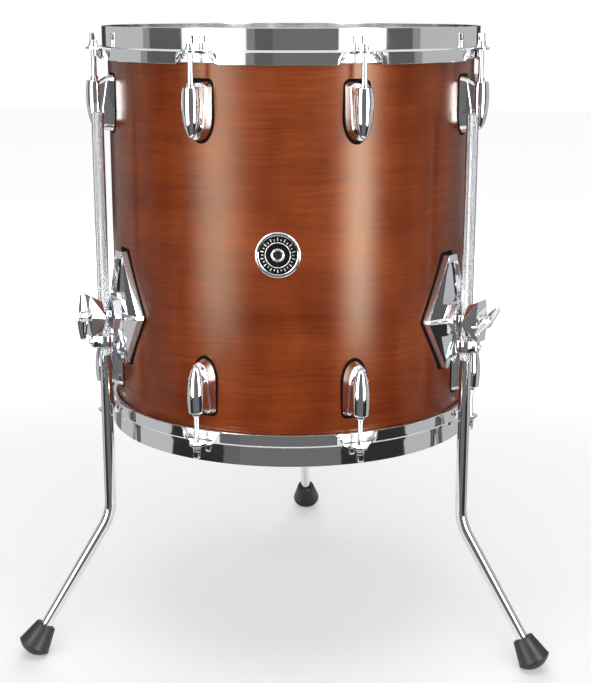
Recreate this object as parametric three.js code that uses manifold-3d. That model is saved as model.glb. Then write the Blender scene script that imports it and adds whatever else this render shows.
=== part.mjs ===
// A floor tom: a 16 by 16 inch drum with two heads, 8 lugs to a head, on three bent legs.
// Millimetres, +Z up. The badge faces -Y. The floor is at z = 0, under the middle of the object.
import * as THREE from "three";
import { mergeVertices } from "three/addons/utils/BufferGeometryUtils.js";
import { ConvexGeometry } from "three/addons/geometries/ConvexGeometry.js";
import Module from "manifold-3d";

const wasm = await Module();
wasm.setup();

// Driving sizes of the drum
const SHELL_DIAMETER = 406.4;
const SHELL_DEPTH = 406.4;
const SHELL_WALL = 6.6;
const FLOOR_TO_SHELL = 259.6;
const LUGS_PER_HEAD = 8;
const FRONT_LEG_ANGLE = 58.5;
const SEAT_GAP = 0.3;
const OVERRUN = 10;

// Shell edges
const EDGE_INSET = 1.6;
const EDGE_ROUND = 1.4;

// Badge and vent
const BADGE_DIAMETER = 47;
const BADGE_THICKNESS = 1.2;
const VENT_BORE = 9;
const VENT_TUBE_WALL = 0.6;
const VENT_FLANGE = 14;
const VENT_FLANGE_THICKNESS = 1.1;

// Heads
const FILM_THICKNESS = 0.5;
const COLLAR_CLEARANCE = 0.7;
const FLESH_HOOP_WIDTH = 5.6;
const FLESH_HOOP_HEIGHT = 10;
const FLESH_HOOP_DROP = 4.5;

// Counter hoops
const HOOP_STEEL = 2.4;
const HOOP_SLACK = 0.6;
const HOOP_RIM_HEIGHT = 19.3;
const HOOP_SKIRT_DEPTH = 15.7;
const HOOP_SHELF = 3.6;
const EAR_TIP_RADIUS = 8.2;
const EAR_ROOT_WIDTH = 31;
const EAR_HOLE_CLEARANCE = 0.6;
const NOTCH_FOOT_WIDTH = 41;
const NOTCH_TOP_WIDTH = 18;

// Tension rods
const ROD_STANDOFF = 18.8;
const ROD_DIAMETER = 5.6;
const ROD_FLANGE_DIAMETER = 11;
const ROD_FLANGE_THICKNESS = 2.6;
const ROD_NECK_DIAMETER = 8.4;
const ROD_NECK_HEIGHT = 4;
const ROD_HEAD_SIDE = 6;
const ROD_HEAD_HEIGHT = 7.6;
const ROD_ENGAGEMENT = 24;

// Lugs
const LUG_DROP = 31.5;
const LUG_LENGTH = 60;
const LUG_FOOT_WIDTH = 27;
const LUG_TOP_WIDTH = 19;
const LUG_CORNER = 6;
const LUG_PEDESTAL_HEIGHT = 13;
const LUG_BULLET_DIAMETER = 19;
const LUG_BULLET_TOP_DIAMETER = 17;
const LUG_BULLET_DROP = 5.6;
const LUG_BULLET_LENGTH = 50;
const LUG_BULLET_NOSE = 34;
const LUG_SHOULDER_SHARE = 0.4;
const LUG_NUT_DIAMETER = 8.4;
const LUG_NUT_HEIGHT = 4.4;
const LUG_BORE_CLEARANCE = 0.4;

// Legs and feet
const LEG_DIAMETER = 12.7;
const LEG_STANDOFF = 26.5;
const LEG_TOP_HEIGHT = 598;
const LEG_BEND_HEIGHT = 150;
const LEG_BEND_RADIUS = 55;
const FOOT_SPREAD = 318;
const FOOT_TOP_DIAMETER = 23;
const FOOT_WIDE_DIAMETER = 36;
const FOOT_SKIRT_LENGTH = 27;
const FOOT_DOME_RADIUS = 22.5;
const FOOT_FLAT_DEPTH = 0.7;
const FOOT_SOCKET_DEPTH = 25;
const LEG_CLEARANCE = 0.3;

// Leg brackets and their clamps
const RIDGE_OVER_LUGS = 29.9;
const BRACKET_RISE = 70;
const BRACKET_FALL = 58;
const BRACKET_FOOT_HALF = 43.5;
const BRACKET_TOP_HALF = 10.5;
const BRACKET_PROUD = 7.5;
const BRACKET_BEVEL = 3;
const BRACKET_END_BEVEL = 2.5;
const RECESS_MARGIN = 6;
const RECESS_HALF = 16;
const RECESS_DEPTH = 6;
const RECESS_FLOOR_WIDTH_SHARE = 0.85;
const RECESS_FLOOR_REACH_SHARE = 0.92;
const ROOF_HALF_HEIGHT = 16;
const ROOF_EDGE_SHARE = 0.74;
const CLAMP_HALF = 20;
const CLAMP_EDGE_HALF = 11;
const CLAMP_GAP = 11.6;
const JAW_LENGTH = 12.4;
const JAW_FLARE = 6.5;
const EYE_WALL = 3.6;
const EYE_HEIGHT = 10;
const EYE_SHANK_DIAMETER = 7.6;
const EYE_SHANK_PAST_NUT = 2;
const WING_LENGTH = 54;
const WING_WIDTH = 12.5;
const WING_MIDWAY_WIDTH = 10.75;
const WING_THICKNESS = 5.5;
const WING_HUB_DIAMETER = 13;
const WING_HUB_LENGTH = 11.5;
const WING_TIP_WIDTH = 4.4;
const LOCK_WALL = 3.4;
const LOCK_HEIGHT = 13;
const LOCK_BOSS_WIDTH = 8.4;
const LOCK_BOSS_REACH = 4.6;
const LOCK_SCREW_SIDE = 5;
const LOCK_SCREW_REACH = 3.2;

// Facets
const RING_SIDES = 48;
const TUBE_SIDES = 10;
const PIN_SIDES = 8;
const LEG_STEPS = 16;
const EAR_TIP_STEPS = 3;

// Radii and heights worked out from the driving sizes
const shellRadius = SHELL_DIAMETER / 2;
const shellInner = shellRadius - SHELL_WALL;
const shellBottom = FLOOR_TO_SHELL;
const shellTop = FLOOR_TO_SHELL + SHELL_DEPTH;
const shellMiddle = (shellTop + shellBottom) / 2;
const rodRadius = ROD_DIAMETER / 2;
const rodCircle = shellRadius + ROD_STANDOFF;
const legRadius = LEG_DIAMETER / 2;
const legCircle = shellRadius + LEG_STANDOFF;
const legBore = legRadius + LEG_CLEARANCE;
const ridgeHeight = shellBottom + LUG_DROP + LUG_LENGTH + RIDGE_OVER_LUGS;
const fleshInner = shellRadius + COLLAR_CLEARANCE;
const fleshOuter = fleshInner + FLESH_HOOP_WIDTH;
const skirtInner = fleshOuter + HOOP_SLACK;
const skirtOuter = skirtInner + HOOP_STEEL;
const wallOuter = skirtOuter - HOOP_SHELF;
const wallInner = wallOuter - HOOP_STEEL;
const shelfUnder = -FLESH_HOOP_DROP + SEAT_GAP;
const shelfTop = shelfUnder + HOOP_STEEL;
const clampFace = legCircle - CLAMP_GAP / 2;
const jawFace = legCircle + CLAMP_GAP / 2;
const jawEnd = jawFace + JAW_LENGTH;
const eyeOuter = legBore + EYE_WALL;
const wingStart = jawEnd + SEAT_GAP;
const facetAngle = Math.PI / RING_SIDES;

const chrome = new THREE.MeshStandardMaterial({ color: 0xd8dadc, roughness: 0.08, metalness: 1 });
const stainedWood = new THREE.MeshStandardMaterial({ color: 0x9a4a22, roughness: 0.38, metalness: 0 });
const blackEnamel = new THREE.MeshStandardMaterial({ color: 0x1a1b1c, roughness: 0.3, metalness: 0.2 });
const coatedFilm = new THREE.MeshStandardMaterial({ color: 0xf2f1ec, roughness: 0.75, metalness: 0 });
const clearFilm = new THREE.MeshStandardMaterial({ color: 0xdfe3e6, roughness: 0.2, metalness: 0 });
const footRubber = new THREE.MeshStandardMaterial({ color: 0x222222, roughness: 0.8, metalness: 0 });

// Merge shared vertices and drop the triangles that collapse where a profile meets its axis.
function welded(geometry) {
  const bare = geometry.clone();
  bare.deleteAttribute("normal");
  bare.deleteAttribute("uv");
  const merged = mergeVertices(bare);
  const old = merged.index.array;
  const kept = [];
  for (let i = 0; i < old.length; i += 3) {
    const [a, b, c] = [old[i], old[i + 1], old[i + 2]];
    if (a !== b && b !== c && c !== a) {
      kept.push(a, b, c);
    }
  }
  merged.setIndex(kept);
  return merged;
}

// Six times the signed volume, to tell whether the faces point out.
function signedVolume(geometry) {
  const position = geometry.attributes.position;
  const corner = [new THREE.Vector3(), new THREE.Vector3(), new THREE.Vector3()];
  let sum = 0;
  for (let i = 0; i < geometry.index.count; i += 3) {
    corner.forEach((point, k) => point.fromBufferAttribute(position, geometry.index.array[i + k]));
    sum += corner[0].dot(corner[1].cross(corner[2]));
  }
  return sum;
}

function outward(geometry) {
  if (signedVolume(geometry) < 0) {
    const index = geometry.index.array;
    for (let i = 0; i < index.length; i += 3) {
      [index[i], index[i + 1]] = [index[i + 1], index[i]];
    }
  }
  return geometry;
}

function solid(geometry) {
  const clean = outward(welded(geometry));
  return new wasm.Manifold(new wasm.Mesh({
    numProp: 3,
    vertProperties: Float32Array.from(clean.attributes.position.array),
    triVerts: Uint32Array.from(clean.index.array),
  }));
}

function surface(manifold) {
  const mesh = manifold.getMesh();
  const geometry = new THREE.BufferGeometry();
  geometry.setAttribute("position", new THREE.BufferAttribute(mesh.vertProperties, 3));
  geometry.setIndex(new THREE.BufferAttribute(mesh.triVerts, 1));
  geometry.computeVertexNormals();
  return geometry;
}

function piece(name, body, material) {
  const mesh = new THREE.Mesh(body, material);
  mesh.name = name;
  return mesh;
}

// A profile of [radius, height] points turned about the Z axis.
function turned(profile, sides) {
  const points = profile.map(([radius, height]) => new THREE.Vector2(radius, height));
  const geometry = new THREE.LatheGeometry(points, sides);
  geometry.rotateX(Math.PI / 2);
  return outward(welded(geometry));
}

function closedProfile(profile) {
  return [...profile, profile[0]];
}

// An upright cylinder whose flats, not its corners, lie at the radius: for cutting clearances.
function roundCutter(radius, bottom, top, sides) {
  const corner = radius / Math.cos(Math.PI / sides);
  return turned([[0, bottom], [corner, bottom], [corner, top], [0, top]], sides);
}

function rod(radius, bottom, top, sides) {
  return turned([[0, bottom], [radius, bottom], [radius, top], [0, top]], sides);
}

// Lay an upright shape down so that its axis runs outward along +X.
function alongX(geometry) {
  return geometry.rotateY(Math.PI / 2);
}

function box(width, depth, height, x, y, z) {
  return new THREE.BoxGeometry(width, depth, height).translate(x, y, z);
}

// A convex block between flat outlines, each [x, [[y, z], ...]].
function block(...outlines) {
  const points = [];
  for (const [x, outline] of outlines) {
    for (const [y, z] of outline) {
      points.push(new THREE.Vector3(x, y, z));
    }
  }
  return new ConvexGeometry(points);
}

// A group turned about the drum's axis, so that its +X points outward at an angle from the front.
function spoke(angle) {
  const group = new THREE.Group();
  group.rotation.z = angle - Math.PI / 2;
  return group;
}

// The shell: a tube with an edge cut to a ridge at each end, and the vent hole.
function shellBody() {
  const crest = shellRadius - EDGE_INSET;
  const bevel = SHELL_WALL - EDGE_INSET;
  const tube = turned(closedProfile([
    [shellInner, shellBottom + bevel],
    [crest, shellBottom],
    [shellRadius, shellBottom + EDGE_ROUND],
    [shellRadius, shellTop - EDGE_ROUND],
    [crest, shellTop],
    [shellInner, shellTop - bevel],
  ]), RING_SIDES);
  const holeRadius = VENT_BORE / 2 + VENT_TUBE_WALL + SEAT_GAP;
  const ventHole = roundCutter(holeRadius, 0, shellRadius + OVERRUN, TUBE_SIDES);
  alongX(ventHole).rotateZ(-Math.PI / 2).translate(0, 0, shellMiddle);
  return surface(solid(tube).subtract(solid(ventHole)));
}

// The badge: a thin round plate bent to the shell, with a hole for the vent grommet.
function badgeBody() {
  const inner = (shellRadius + SEAT_GAP) / Math.cos(facetAngle);
  const outer = inner + BADGE_THICKNESS;
  const low = shellMiddle - BADGE_DIAMETER;
  const high = shellMiddle + BADGE_DIAMETER;
  const band = turned(closedProfile([[inner, low], [outer, low], [outer, high], [inner, high]]), RING_SIDES);
  const across = (diameter, sides) => {
    const pin = alongX(rod(diameter / 2, 0, shellRadius + OVERRUN, sides));
    return solid(pin.rotateZ(-Math.PI / 2).translate(0, 0, shellMiddle));
  };
  const hole = VENT_BORE + 2 * (VENT_TUBE_WALL + SEAT_GAP);
  return surface(solid(band)
    .intersect(across(BADGE_DIAMETER, 2 * TUBE_SIDES))
    .subtract(across(hole, TUBE_SIDES)));
}

// The vent grommet: a tube through badge and shell with a flange at each end.
function grommetBody() {
  const bore = VENT_BORE / 2;
  const tube = bore + VENT_TUBE_WALL;
  const flange = VENT_FLANGE / 2;
  const badgeFace = (shellRadius + SEAT_GAP) / Math.cos(facetAngle) + BADGE_THICKNESS;
  const outerSeat = badgeFace + SEAT_GAP;
  const innerSeat = shellInner - flange * Math.tan(facetAngle) - SEAT_GAP;
  const profile = closedProfile([
    [bore, innerSeat - VENT_FLANGE_THICKNESS],
    [flange, innerSeat - VENT_FLANGE_THICKNESS],
    [flange, innerSeat],
    [tube, innerSeat],
    [tube, outerSeat],
    [flange, outerSeat],
    [flange - VENT_TUBE_WALL, outerSeat + VENT_FLANGE_THICKNESS],
    [bore, outerSeat + VENT_FLANGE_THICKNESS],
  ]);
  return alongX(turned(profile, TUBE_SIDES));
}

// A head lies on the shell's edge at z = 0 and its flesh hoop hangs outside the shell.
function headBody() {
  const crest = shellRadius - EDGE_INSET;
  const under = SEAT_GAP;
  const over = under + FILM_THICKNESS;
  return turned([
    [0, over],
    [crest, over],
    [fleshInner + FILM_THICKNESS, -EDGE_ROUND],
    [fleshInner + FLESH_HOOP_WIDTH / 2, -FLESH_HOOP_DROP],
    [fleshOuter, -FLESH_HOOP_DROP],
    [fleshOuter, -FLESH_HOOP_DROP - FLESH_HOOP_HEIGHT],
    [fleshInner, -FLESH_HOOP_DROP - FLESH_HOOP_HEIGHT],
    [fleshInner, -EDGE_ROUND],
    [crest, under],
    [0, under],
  ], RING_SIDES);
}

// One ear of a hoop: a flat tab at the height of the shelf, reaching past the rod.
function earTab() {
  const tab = new THREE.Shape();
  const root = wallOuter;
  const half = EAR_ROOT_WIDTH / 2;
  const lean = Math.PI / 3;
  tab.moveTo(root, -half);
  tab.lineTo(skirtInner, -half);
  tab.absarc(rodCircle, 0, EAR_TIP_RADIUS, -lean - facetAngle, lean + facetAngle, false);
  tab.lineTo(skirtInner, half);
  tab.lineTo(root, half);
  const plate = new THREE.ExtrudeGeometry(tab, {
    depth: HOOP_STEEL, bevelEnabled: false, curveSegments: EAR_TIP_STEPS,
  });
  return solid(plate.translate(0, 0, shelfUnder));
}

// The skirt rises in a smooth bay on each side of an ear.
function skirtNotch() {
  const foot = NOTCH_FOOT_WIDTH / 2;
  const top = NOTCH_TOP_WIDTH / 2;
  const bottom = -HOOP_SKIRT_DEPTH;
  const middle = (shelfUnder + bottom) / 2;
  const waist = (foot + top) / 2;
  const outline = [
    [-foot, bottom - OVERRUN], [foot, bottom - OVERRUN], [foot, bottom], [waist, middle],
    [top, shelfUnder], [-top, shelfUnder], [-waist, middle], [-foot, bottom],
  ];
  const bay = new THREE.Shape(outline.map(([y, z]) => new THREE.Vector2(y, z)));
  const depth = skirtOuter - fleshOuter + OVERRUN;
  const cutter = new THREE.ExtrudeGeometry(bay, { depth, bevelEnabled: false });
  cutter.rotateX(Math.PI / 2).rotateZ(Math.PI / 2);
  return solid(cutter.translate(skirtInner * Math.cos(facetAngle) - HOOP_SLACK / 2, 0, 0));
}

// A counter hoop seen from its head: rim up, shelf on the flesh hoop, skirt down, ears at the rods.
function hoopBody() {
  let hoop = solid(turned(closedProfile([
    [wallInner, shelfUnder],
    [skirtInner, shelfUnder],
    [skirtInner, -HOOP_SKIRT_DEPTH],
    [skirtOuter, -HOOP_SKIRT_DEPTH],
    [skirtOuter, shelfTop],
    [wallOuter, shelfTop],
    [wallOuter, HOOP_RIM_HEIGHT],
    [wallInner, HOOP_RIM_HEIGHT],
  ]), RING_SIDES));
  const holeRadius = rodRadius + EAR_HOLE_CLEARANCE;
  const hole = roundCutter(holeRadius, shelfUnder - OVERRUN, shelfTop + OVERRUN, PIN_SIDES);
  const rodHole = solid(hole.translate(rodCircle, 0, 0));
  const tab = earTab();
  const notch = skirtNotch();
  for (let i = 0; i < LUGS_PER_HEAD; i += 1) {
    const turn = [0, 0, (360 * (i + 0.5)) / LUGS_PER_HEAD];
    hoop = hoop.subtract(notch.rotate(turn)).add(tab.rotate(turn)).subtract(rodHole.rotate(turn));
  }
  return surface(hoop);
}

// A tension rod, head up, with z = 0 at the shell's edge and its axis on the Z axis.
function rodBody() {
  const seat = shelfTop + SEAT_GAP;
  const collar = seat + ROD_FLANGE_THICKNESS;
  const neck = collar + ROD_NECK_HEIGHT;
  const end = -LUG_DROP - LUG_BULLET_DROP - ROD_ENGAGEMENT;
  const shaft = turned([
    [0, end],
    [rodRadius, end],
    [rodRadius, seat],
    [ROD_FLANGE_DIAMETER / 2, seat],
    [ROD_FLANGE_DIAMETER / 2, collar],
    [ROD_NECK_DIAMETER / 2, collar],
    [ROD_NECK_DIAMETER / 2, neck],
    [0, neck],
  ], PIN_SIDES);
  const headHeight = ROD_HEAD_HEIGHT + ROD_NECK_HEIGHT / 2;
  const head = box(ROD_HEAD_SIDE, ROD_HEAD_SIDE, headHeight, 0, 0, neck + ROD_HEAD_HEIGHT - headHeight / 2);
  return surface(solid(shaft).add(solid(head)));
}

// The outline of a lug's pedestal in its own plane: flat at the rod's end, rounded at the other.
function lugOutline(width, inset) {
  const half = width / 2;
  const top = -LUG_DROP - inset;
  const bottom = -LUG_DROP - LUG_LENGTH + inset;
  const shoulder = bottom + (top - bottom) * LUG_SHOULDER_SHARE;
  const corner = LUG_CORNER * (width / LUG_FOOT_WIDTH);
  const outline = [[-half + corner, top], [half - corner, top], [half, top - corner], [half, shoulder]];
  const halfTurnShares = [0.25, 0.5, 0.75];
  for (const share of halfTurnShares) {
    const turn = share * Math.PI;
    outline.push([half * Math.cos(turn), shoulder - (shoulder - bottom) * Math.sin(turn)]);
  }
  outline.push([-half, shoulder], [-half, top - corner]);
  return outline;
}

// A lug in a spoke's frame, with z = 0 at the shell's edge: pedestal, bullet, the swivel nut's end.
function lugBody() {
  const foot = shellRadius - SHELL_WALL;
  const crown = shellRadius + LUG_PEDESTAL_HEIGHT;
  const spread = (LUG_FOOT_WIDTH - LUG_TOP_WIDTH) / 2;
  const slope = spread / LUG_PEDESTAL_HEIGHT;
  const pedestal = block(
    [foot, lugOutline(LUG_FOOT_WIDTH + 2 * SHELL_WALL * slope, 0)],
    [crown, lugOutline(LUG_TOP_WIDTH, spread / 2)],
  );
  const top = -LUG_DROP - LUG_BULLET_DROP;
  const radius = LUG_BULLET_DIAMETER / 2;
  const noseStart = top - LUG_BULLET_LENGTH + LUG_BULLET_NOSE;
  const bullet = [[0, top], [LUG_BULLET_TOP_DIAMETER / 2, top], [radius, noseStart]];
  const noseShares = [0.4, 0.7, 0.9];
  for (const share of noseShares) {
    bullet.push([radius * Math.sqrt(1 - share ** 2), noseStart - LUG_BULLET_NOSE * share]);
  }
  bullet.push([0, top - LUG_BULLET_LENGTH]);
  const nut = rod(LUG_NUT_DIAMETER / 2, top - radius, top + LUG_NUT_HEIGHT, PIN_SIDES);
  const bore = roundCutter(
    rodRadius + LUG_BORE_CLEARANCE, top - ROD_ENGAGEMENT - SEAT_GAP, top + OVERRUN, PIN_SIDES);
  const seat = roundCutter(shellRadius + SEAT_GAP, -LUG_DROP - LUG_LENGTH - OVERRUN, 0, RING_SIDES);
  return surface(solid(pedestal)
    .add(solid(turned(bullet, TUBE_SIDES).translate(rodCircle, 0, 0)))
    .add(solid(nut.translate(rodCircle, 0, 0)))
    .subtract(solid(bore.translate(rodCircle, 0, 0)))
    .subtract(solid(seat)));
}

// The leg's line in a spoke's plane: straight down, a bend, then out to the middle of the foot's dome.
const footCentre = new THREE.Vector3(FOOT_SPREAD, 0, FOOT_DOME_RADIUS - FOOT_FLAT_DEPTH);
const bendCorner = new THREE.Vector3(legCircle, 0, LEG_BEND_HEIGHT);
const shinDirection = new THREE.Vector3().subVectors(footCentre, bendCorner).normalize();
const shinSlope = Math.atan2(shinDirection.x, -shinDirection.z);
const wideRise = Math.sqrt(FOOT_DOME_RADIUS ** 2 - (FOOT_WIDE_DIAMETER / 2) ** 2);
const footTopRise = FOOT_SKIRT_LENGTH - wideRise;
const socketRise = footTopRise - FOOT_SOCKET_DEPTH;

function legBody() {
  const tangent = LEG_BEND_RADIUS * Math.tan(shinSlope / 2);
  const top = new THREE.Vector3(legCircle, 0, LEG_TOP_HEIGHT);
  const bendStart = new THREE.Vector3(legCircle, 0, LEG_BEND_HEIGHT + tangent);
  const bendEnd = bendCorner.clone().addScaledVector(shinDirection, tangent);
  const end = footCentre.clone().addScaledVector(shinDirection, -socketRise - SEAT_GAP);
  const path = new THREE.CurvePath();
  path.add(new THREE.LineCurve3(top, bendStart));
  path.add(new THREE.QuadraticBezierCurve3(bendStart, bendCorner, bendEnd));
  path.add(new THREE.LineCurve3(bendEnd, end));
  const section = new THREE.Shape();
  section.absarc(0, 0, legRadius, 0, 2 * Math.PI, false);
  const tube = new THREE.ExtrudeGeometry(section, {
    steps: LEG_STEPS, extrudePath: path, curveSegments: TUBE_SIDES / 2,
  });
  return outward(welded(tube));
}

// A rubber foot: a socket for the leg, a flared skirt and a domed sole, flat where it meets the floor.
function footBody() {
  const bottom = -FOOT_DOME_RADIUS;
  const rimAngle = Math.asin(FOOT_WIDE_DIAMETER / 2 / FOOT_DOME_RADIUS);
  const profile = [[0, socketRise], [legBore, socketRise], [legBore, footTopRise],
    [FOOT_TOP_DIAMETER / 2, footTopRise], [FOOT_WIDE_DIAMETER / 2, -wideRise]];
  const domeShares = [0.66, 0.33];
  for (const share of domeShares) {
    const angle = rimAngle * share;
    profile.push([FOOT_DOME_RADIUS * Math.sin(angle), -FOOT_DOME_RADIUS * Math.cos(angle)]);
  }
  profile.push([0, bottom]);
  const foot = turned(profile, 2 * PIN_SIDES).rotateY(-shinSlope).translate(footCentre.x, 0, footCentre.z);
  const floor = box(FOOT_SPREAD, FOOT_SPREAD, FOOT_SPREAD, FOOT_SPREAD, 0, -FOOT_SPREAD / 2);
  return surface(solid(foot).subtract(solid(floor)));
}

function hexagon(half, edgeHalf, halfHeight) {
  return [[-half, 0], [half, 0], [edgeHalf, halfHeight], [-edgeHalf, halfHeight],
    [edgeHalf, -halfHeight], [-edgeHalf, -halfHeight]];
}

// A cylinder round the leg's line, for the leg's groove and the eye's seat.
function legCutter(radius, halfHeight) {
  return solid(roundCutter(radius, -halfHeight, halfHeight, 2 * TUBE_SIDES).translate(legCircle, 0, 0));
}

// One sunk triangle of the bracket's face. side is 1 above the ridge and -1 below it.
function recessCutter(side, reach) {
  const floor = shellRadius + BRACKET_PROUD - RECESS_DEPTH;
  const near = ROOF_HALF_HEIGHT * side;
  const far = (reach - RECESS_MARGIN) * side;
  const wide = [[-RECESS_HALF, near], [RECESS_HALF, near], [0, far]];
  const deep = wide.map(([y, z]) => [
    y * RECESS_FLOOR_WIDTH_SHARE, near + (z - near) * RECESS_FLOOR_REACH_SHARE,
  ]);
  return solid(block([floor, deep], [shellRadius + BRACKET_PROUD + OVERRUN, wide]));
}

// The diamond outline of a bracket's plate, drawn in by one size at its sides and another at its ends.
function bracketOutline(sideInset, endInset) {
  const side = BRACKET_FOOT_HALF - sideInset;
  const end = BRACKET_TOP_HALF - endInset;
  const top = BRACKET_RISE - endInset;
  const bottom = -BRACKET_FALL + endInset;
  return [[-side, 0], [side, 0], [end, top], [-end, top], [end, bottom], [-end, bottom]];
}

// The bracket's body, with z = 0 on the ridge: a curved diamond plate, a roof across it and the clamp's face.
function bracketBody() {
  const plateFace = shellRadius + BRACKET_PROUD;
  const sag = shellRadius - Math.sqrt(shellRadius ** 2 - BRACKET_FOOT_HALF ** 2);
  const wedge = block(
    [shellRadius - sag, bracketOutline(0, 0)],
    [plateFace, bracketOutline(BRACKET_BEVEL, BRACKET_END_BEVEL)],
  );
  const low = -BRACKET_FALL - OVERRUN;
  const high = BRACKET_RISE + OVERRUN;
  const skin = roundCutter(plateFace, low, high, RING_SIDES);
  const roof = block(
    [shellRadius - sag, hexagon(BRACKET_FOOT_HALF, BRACKET_FOOT_HALF * ROOF_EDGE_SHARE, ROOF_HALF_HEIGHT)],
    [clampFace, hexagon(CLAMP_HALF, CLAMP_EDGE_HALF, ROOF_HALF_HEIGHT)],
  );
  const seat = roundCutter(shellRadius + SEAT_GAP, low, high, RING_SIDES);
  return surface(solid(wedge).intersect(solid(skin))
    .subtract(recessCutter(1, BRACKET_RISE))
    .subtract(recessCutter(-1, BRACKET_FALL))
    .add(solid(roof))
    .subtract(legCutter(legBore, BRACKET_RISE))
    .subtract(legCutter(eyeOuter + SEAT_GAP, EYE_HEIGHT / 2 + SEAT_GAP))
    .subtract(solid(seat)));
}

// The clamp's outer jaw, taller at its outer end, hollowed for the leg, the eye and its shank.
function jawBody() {
  const body = block(
    [jawFace, hexagon(CLAMP_HALF, CLAMP_EDGE_HALF, ROOF_HALF_HEIGHT)],
    [jawEnd, hexagon(CLAMP_HALF - JAW_FLARE / 2, CLAMP_EDGE_HALF, ROOF_HALF_HEIGHT + JAW_FLARE)],
  );
  const shankHole = roundCutter(EYE_SHANK_DIAMETER / 2 + SEAT_GAP, jawFace, jawEnd + OVERRUN, TUBE_SIDES);
  return surface(solid(body)
    .subtract(legCutter(legBore, BRACKET_RISE))
    .subtract(legCutter(eyeOuter + SEAT_GAP, EYE_HEIGHT / 2 + SEAT_GAP))
    .subtract(solid(alongX(shankHole))));
}

// The eye bolt: a ring round the leg and a shank out through the jaw and the wing nut.
function eyeBody() {
  const ring = turned([
    [legBore, -EYE_HEIGHT / 2], [eyeOuter, -EYE_HEIGHT / 2], [eyeOuter, EYE_HEIGHT / 2],
    [legBore, EYE_HEIGHT / 2], [legBore, -EYE_HEIGHT / 2],
  ], 2 * TUBE_SIDES).translate(legCircle, 0, 0);
  const shankStart = legCircle + (legBore + eyeOuter) / 2;
  const shankEnd = wingStart + WING_HUB_LENGTH + EYE_SHANK_PAST_NUT;
  const shank = alongX(rod(EYE_SHANK_DIAMETER / 2, shankStart, shankEnd, TUBE_SIDES));
  return surface(solid(ring).add(solid(shank)));
}

// The wing nut, wings upright: a hub on the shank and two wings that thin towards their tips.
function wingBody() {
  const hub = alongX(rod(WING_HUB_DIAMETER / 2, wingStart, wingStart + WING_HUB_LENGTH, TUBE_SIDES));
  const middle = wingStart + WING_HUB_LENGTH / 2 + (WING_WIDTH - WING_HUB_LENGTH) / 2;
  const tip = WING_LENGTH / 2;
  const half = WING_THICKNESS / 2;
  const points = [];
  for (const [height, width] of [[tip, WING_TIP_WIDTH], [tip / 2, WING_MIDWAY_WIDTH], [0, WING_WIDTH]]) {
    for (const x of [middle - width / 2, middle + width / 2]) {
      for (const y of [-half, half]) {
        points.push(new THREE.Vector3(x, y, height), new THREE.Vector3(x, y, -height));
      }
    }
  }
  const bore = roundCutter(
    EYE_SHANK_DIAMETER / 2 + SEAT_GAP, wingStart - OVERRUN, wingStart + WING_WIDTH + OVERRUN, TUBE_SIDES);
  return surface(solid(hub).add(solid(new ConvexGeometry(points))).subtract(solid(alongX(bore))));
}

// The lock collar on the leg under the clamp, with a boss and a square-headed key screw.
function lockBody() {
  const top = -ROOF_HALF_HEIGHT - JAW_FLARE - SEAT_GAP;
  const outer = legBore + LOCK_WALL;
  const middle = top - LOCK_HEIGHT / 2;
  const bossEnd = legCircle + outer + LOCK_BOSS_REACH;
  const bossStart = legCircle + legBore + LOCK_WALL / 2;
  const boss = box(bossEnd - bossStart, LOCK_BOSS_WIDTH, LOCK_HEIGHT, (bossEnd + bossStart) / 2, 0, middle);
  const screwLength = LOCK_SCREW_REACH + LOCK_BOSS_REACH / 2;
  const screw = box(
    screwLength, LOCK_SCREW_SIDE, LOCK_SCREW_SIDE, bossEnd + LOCK_SCREW_REACH - screwLength / 2, 0, middle);
  const collar = turned(closedProfile([
    [legBore, top - LOCK_HEIGHT], [outer, top - LOCK_HEIGHT], [outer, top], [legBore, top],
  ]), 2 * TUBE_SIDES).translate(legCircle, 0, 0);
  return surface(solid(collar).add(solid(boss)).add(solid(screw)));
}

const drum = new THREE.Group();
drum.add(piece("shell", shellBody(), stainedWood));
drum.add(piece("badge", badgeBody(), blackEnamel));

const ventSpoke = spoke(0);
ventSpoke.position.z = shellMiddle;
ventSpoke.add(piece("vent_grommet", grommetBody(), chrome));
drum.add(ventSpoke);

// The top end stands as drawn; the bottom end is the same turned over about the X axis.
const ends = [
  { prefix: "top", head: "batter_head", film: coatedFilm, height: shellTop, flip: 0 },
  { prefix: "bottom", head: "resonant_head", film: clearFilm, height: shellBottom, flip: Math.PI },
];
for (const end of ends) {
  const side = new THREE.Group();
  side.position.z = end.height;
  side.rotation.x = end.flip;
  side.add(piece(end.head, headBody(), end.film));
  side.add(piece(`${end.prefix}_hoop`, hoopBody(), chrome));
  for (let i = 0; i < LUGS_PER_HEAD; i += 1) {
    const arm = spoke((2 * Math.PI * (i + 0.5)) / LUGS_PER_HEAD);
    const tensionRod = piece(`${end.prefix}_rod_${i + 1}`, rodBody(), chrome);
    tensionRod.position.x = rodCircle;
    arm.add(tensionRod);
    arm.add(piece(`${end.prefix}_lug_${i + 1}`, lugBody(), chrome));
    side.add(arm);
  }
  drum.add(side);
}

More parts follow.
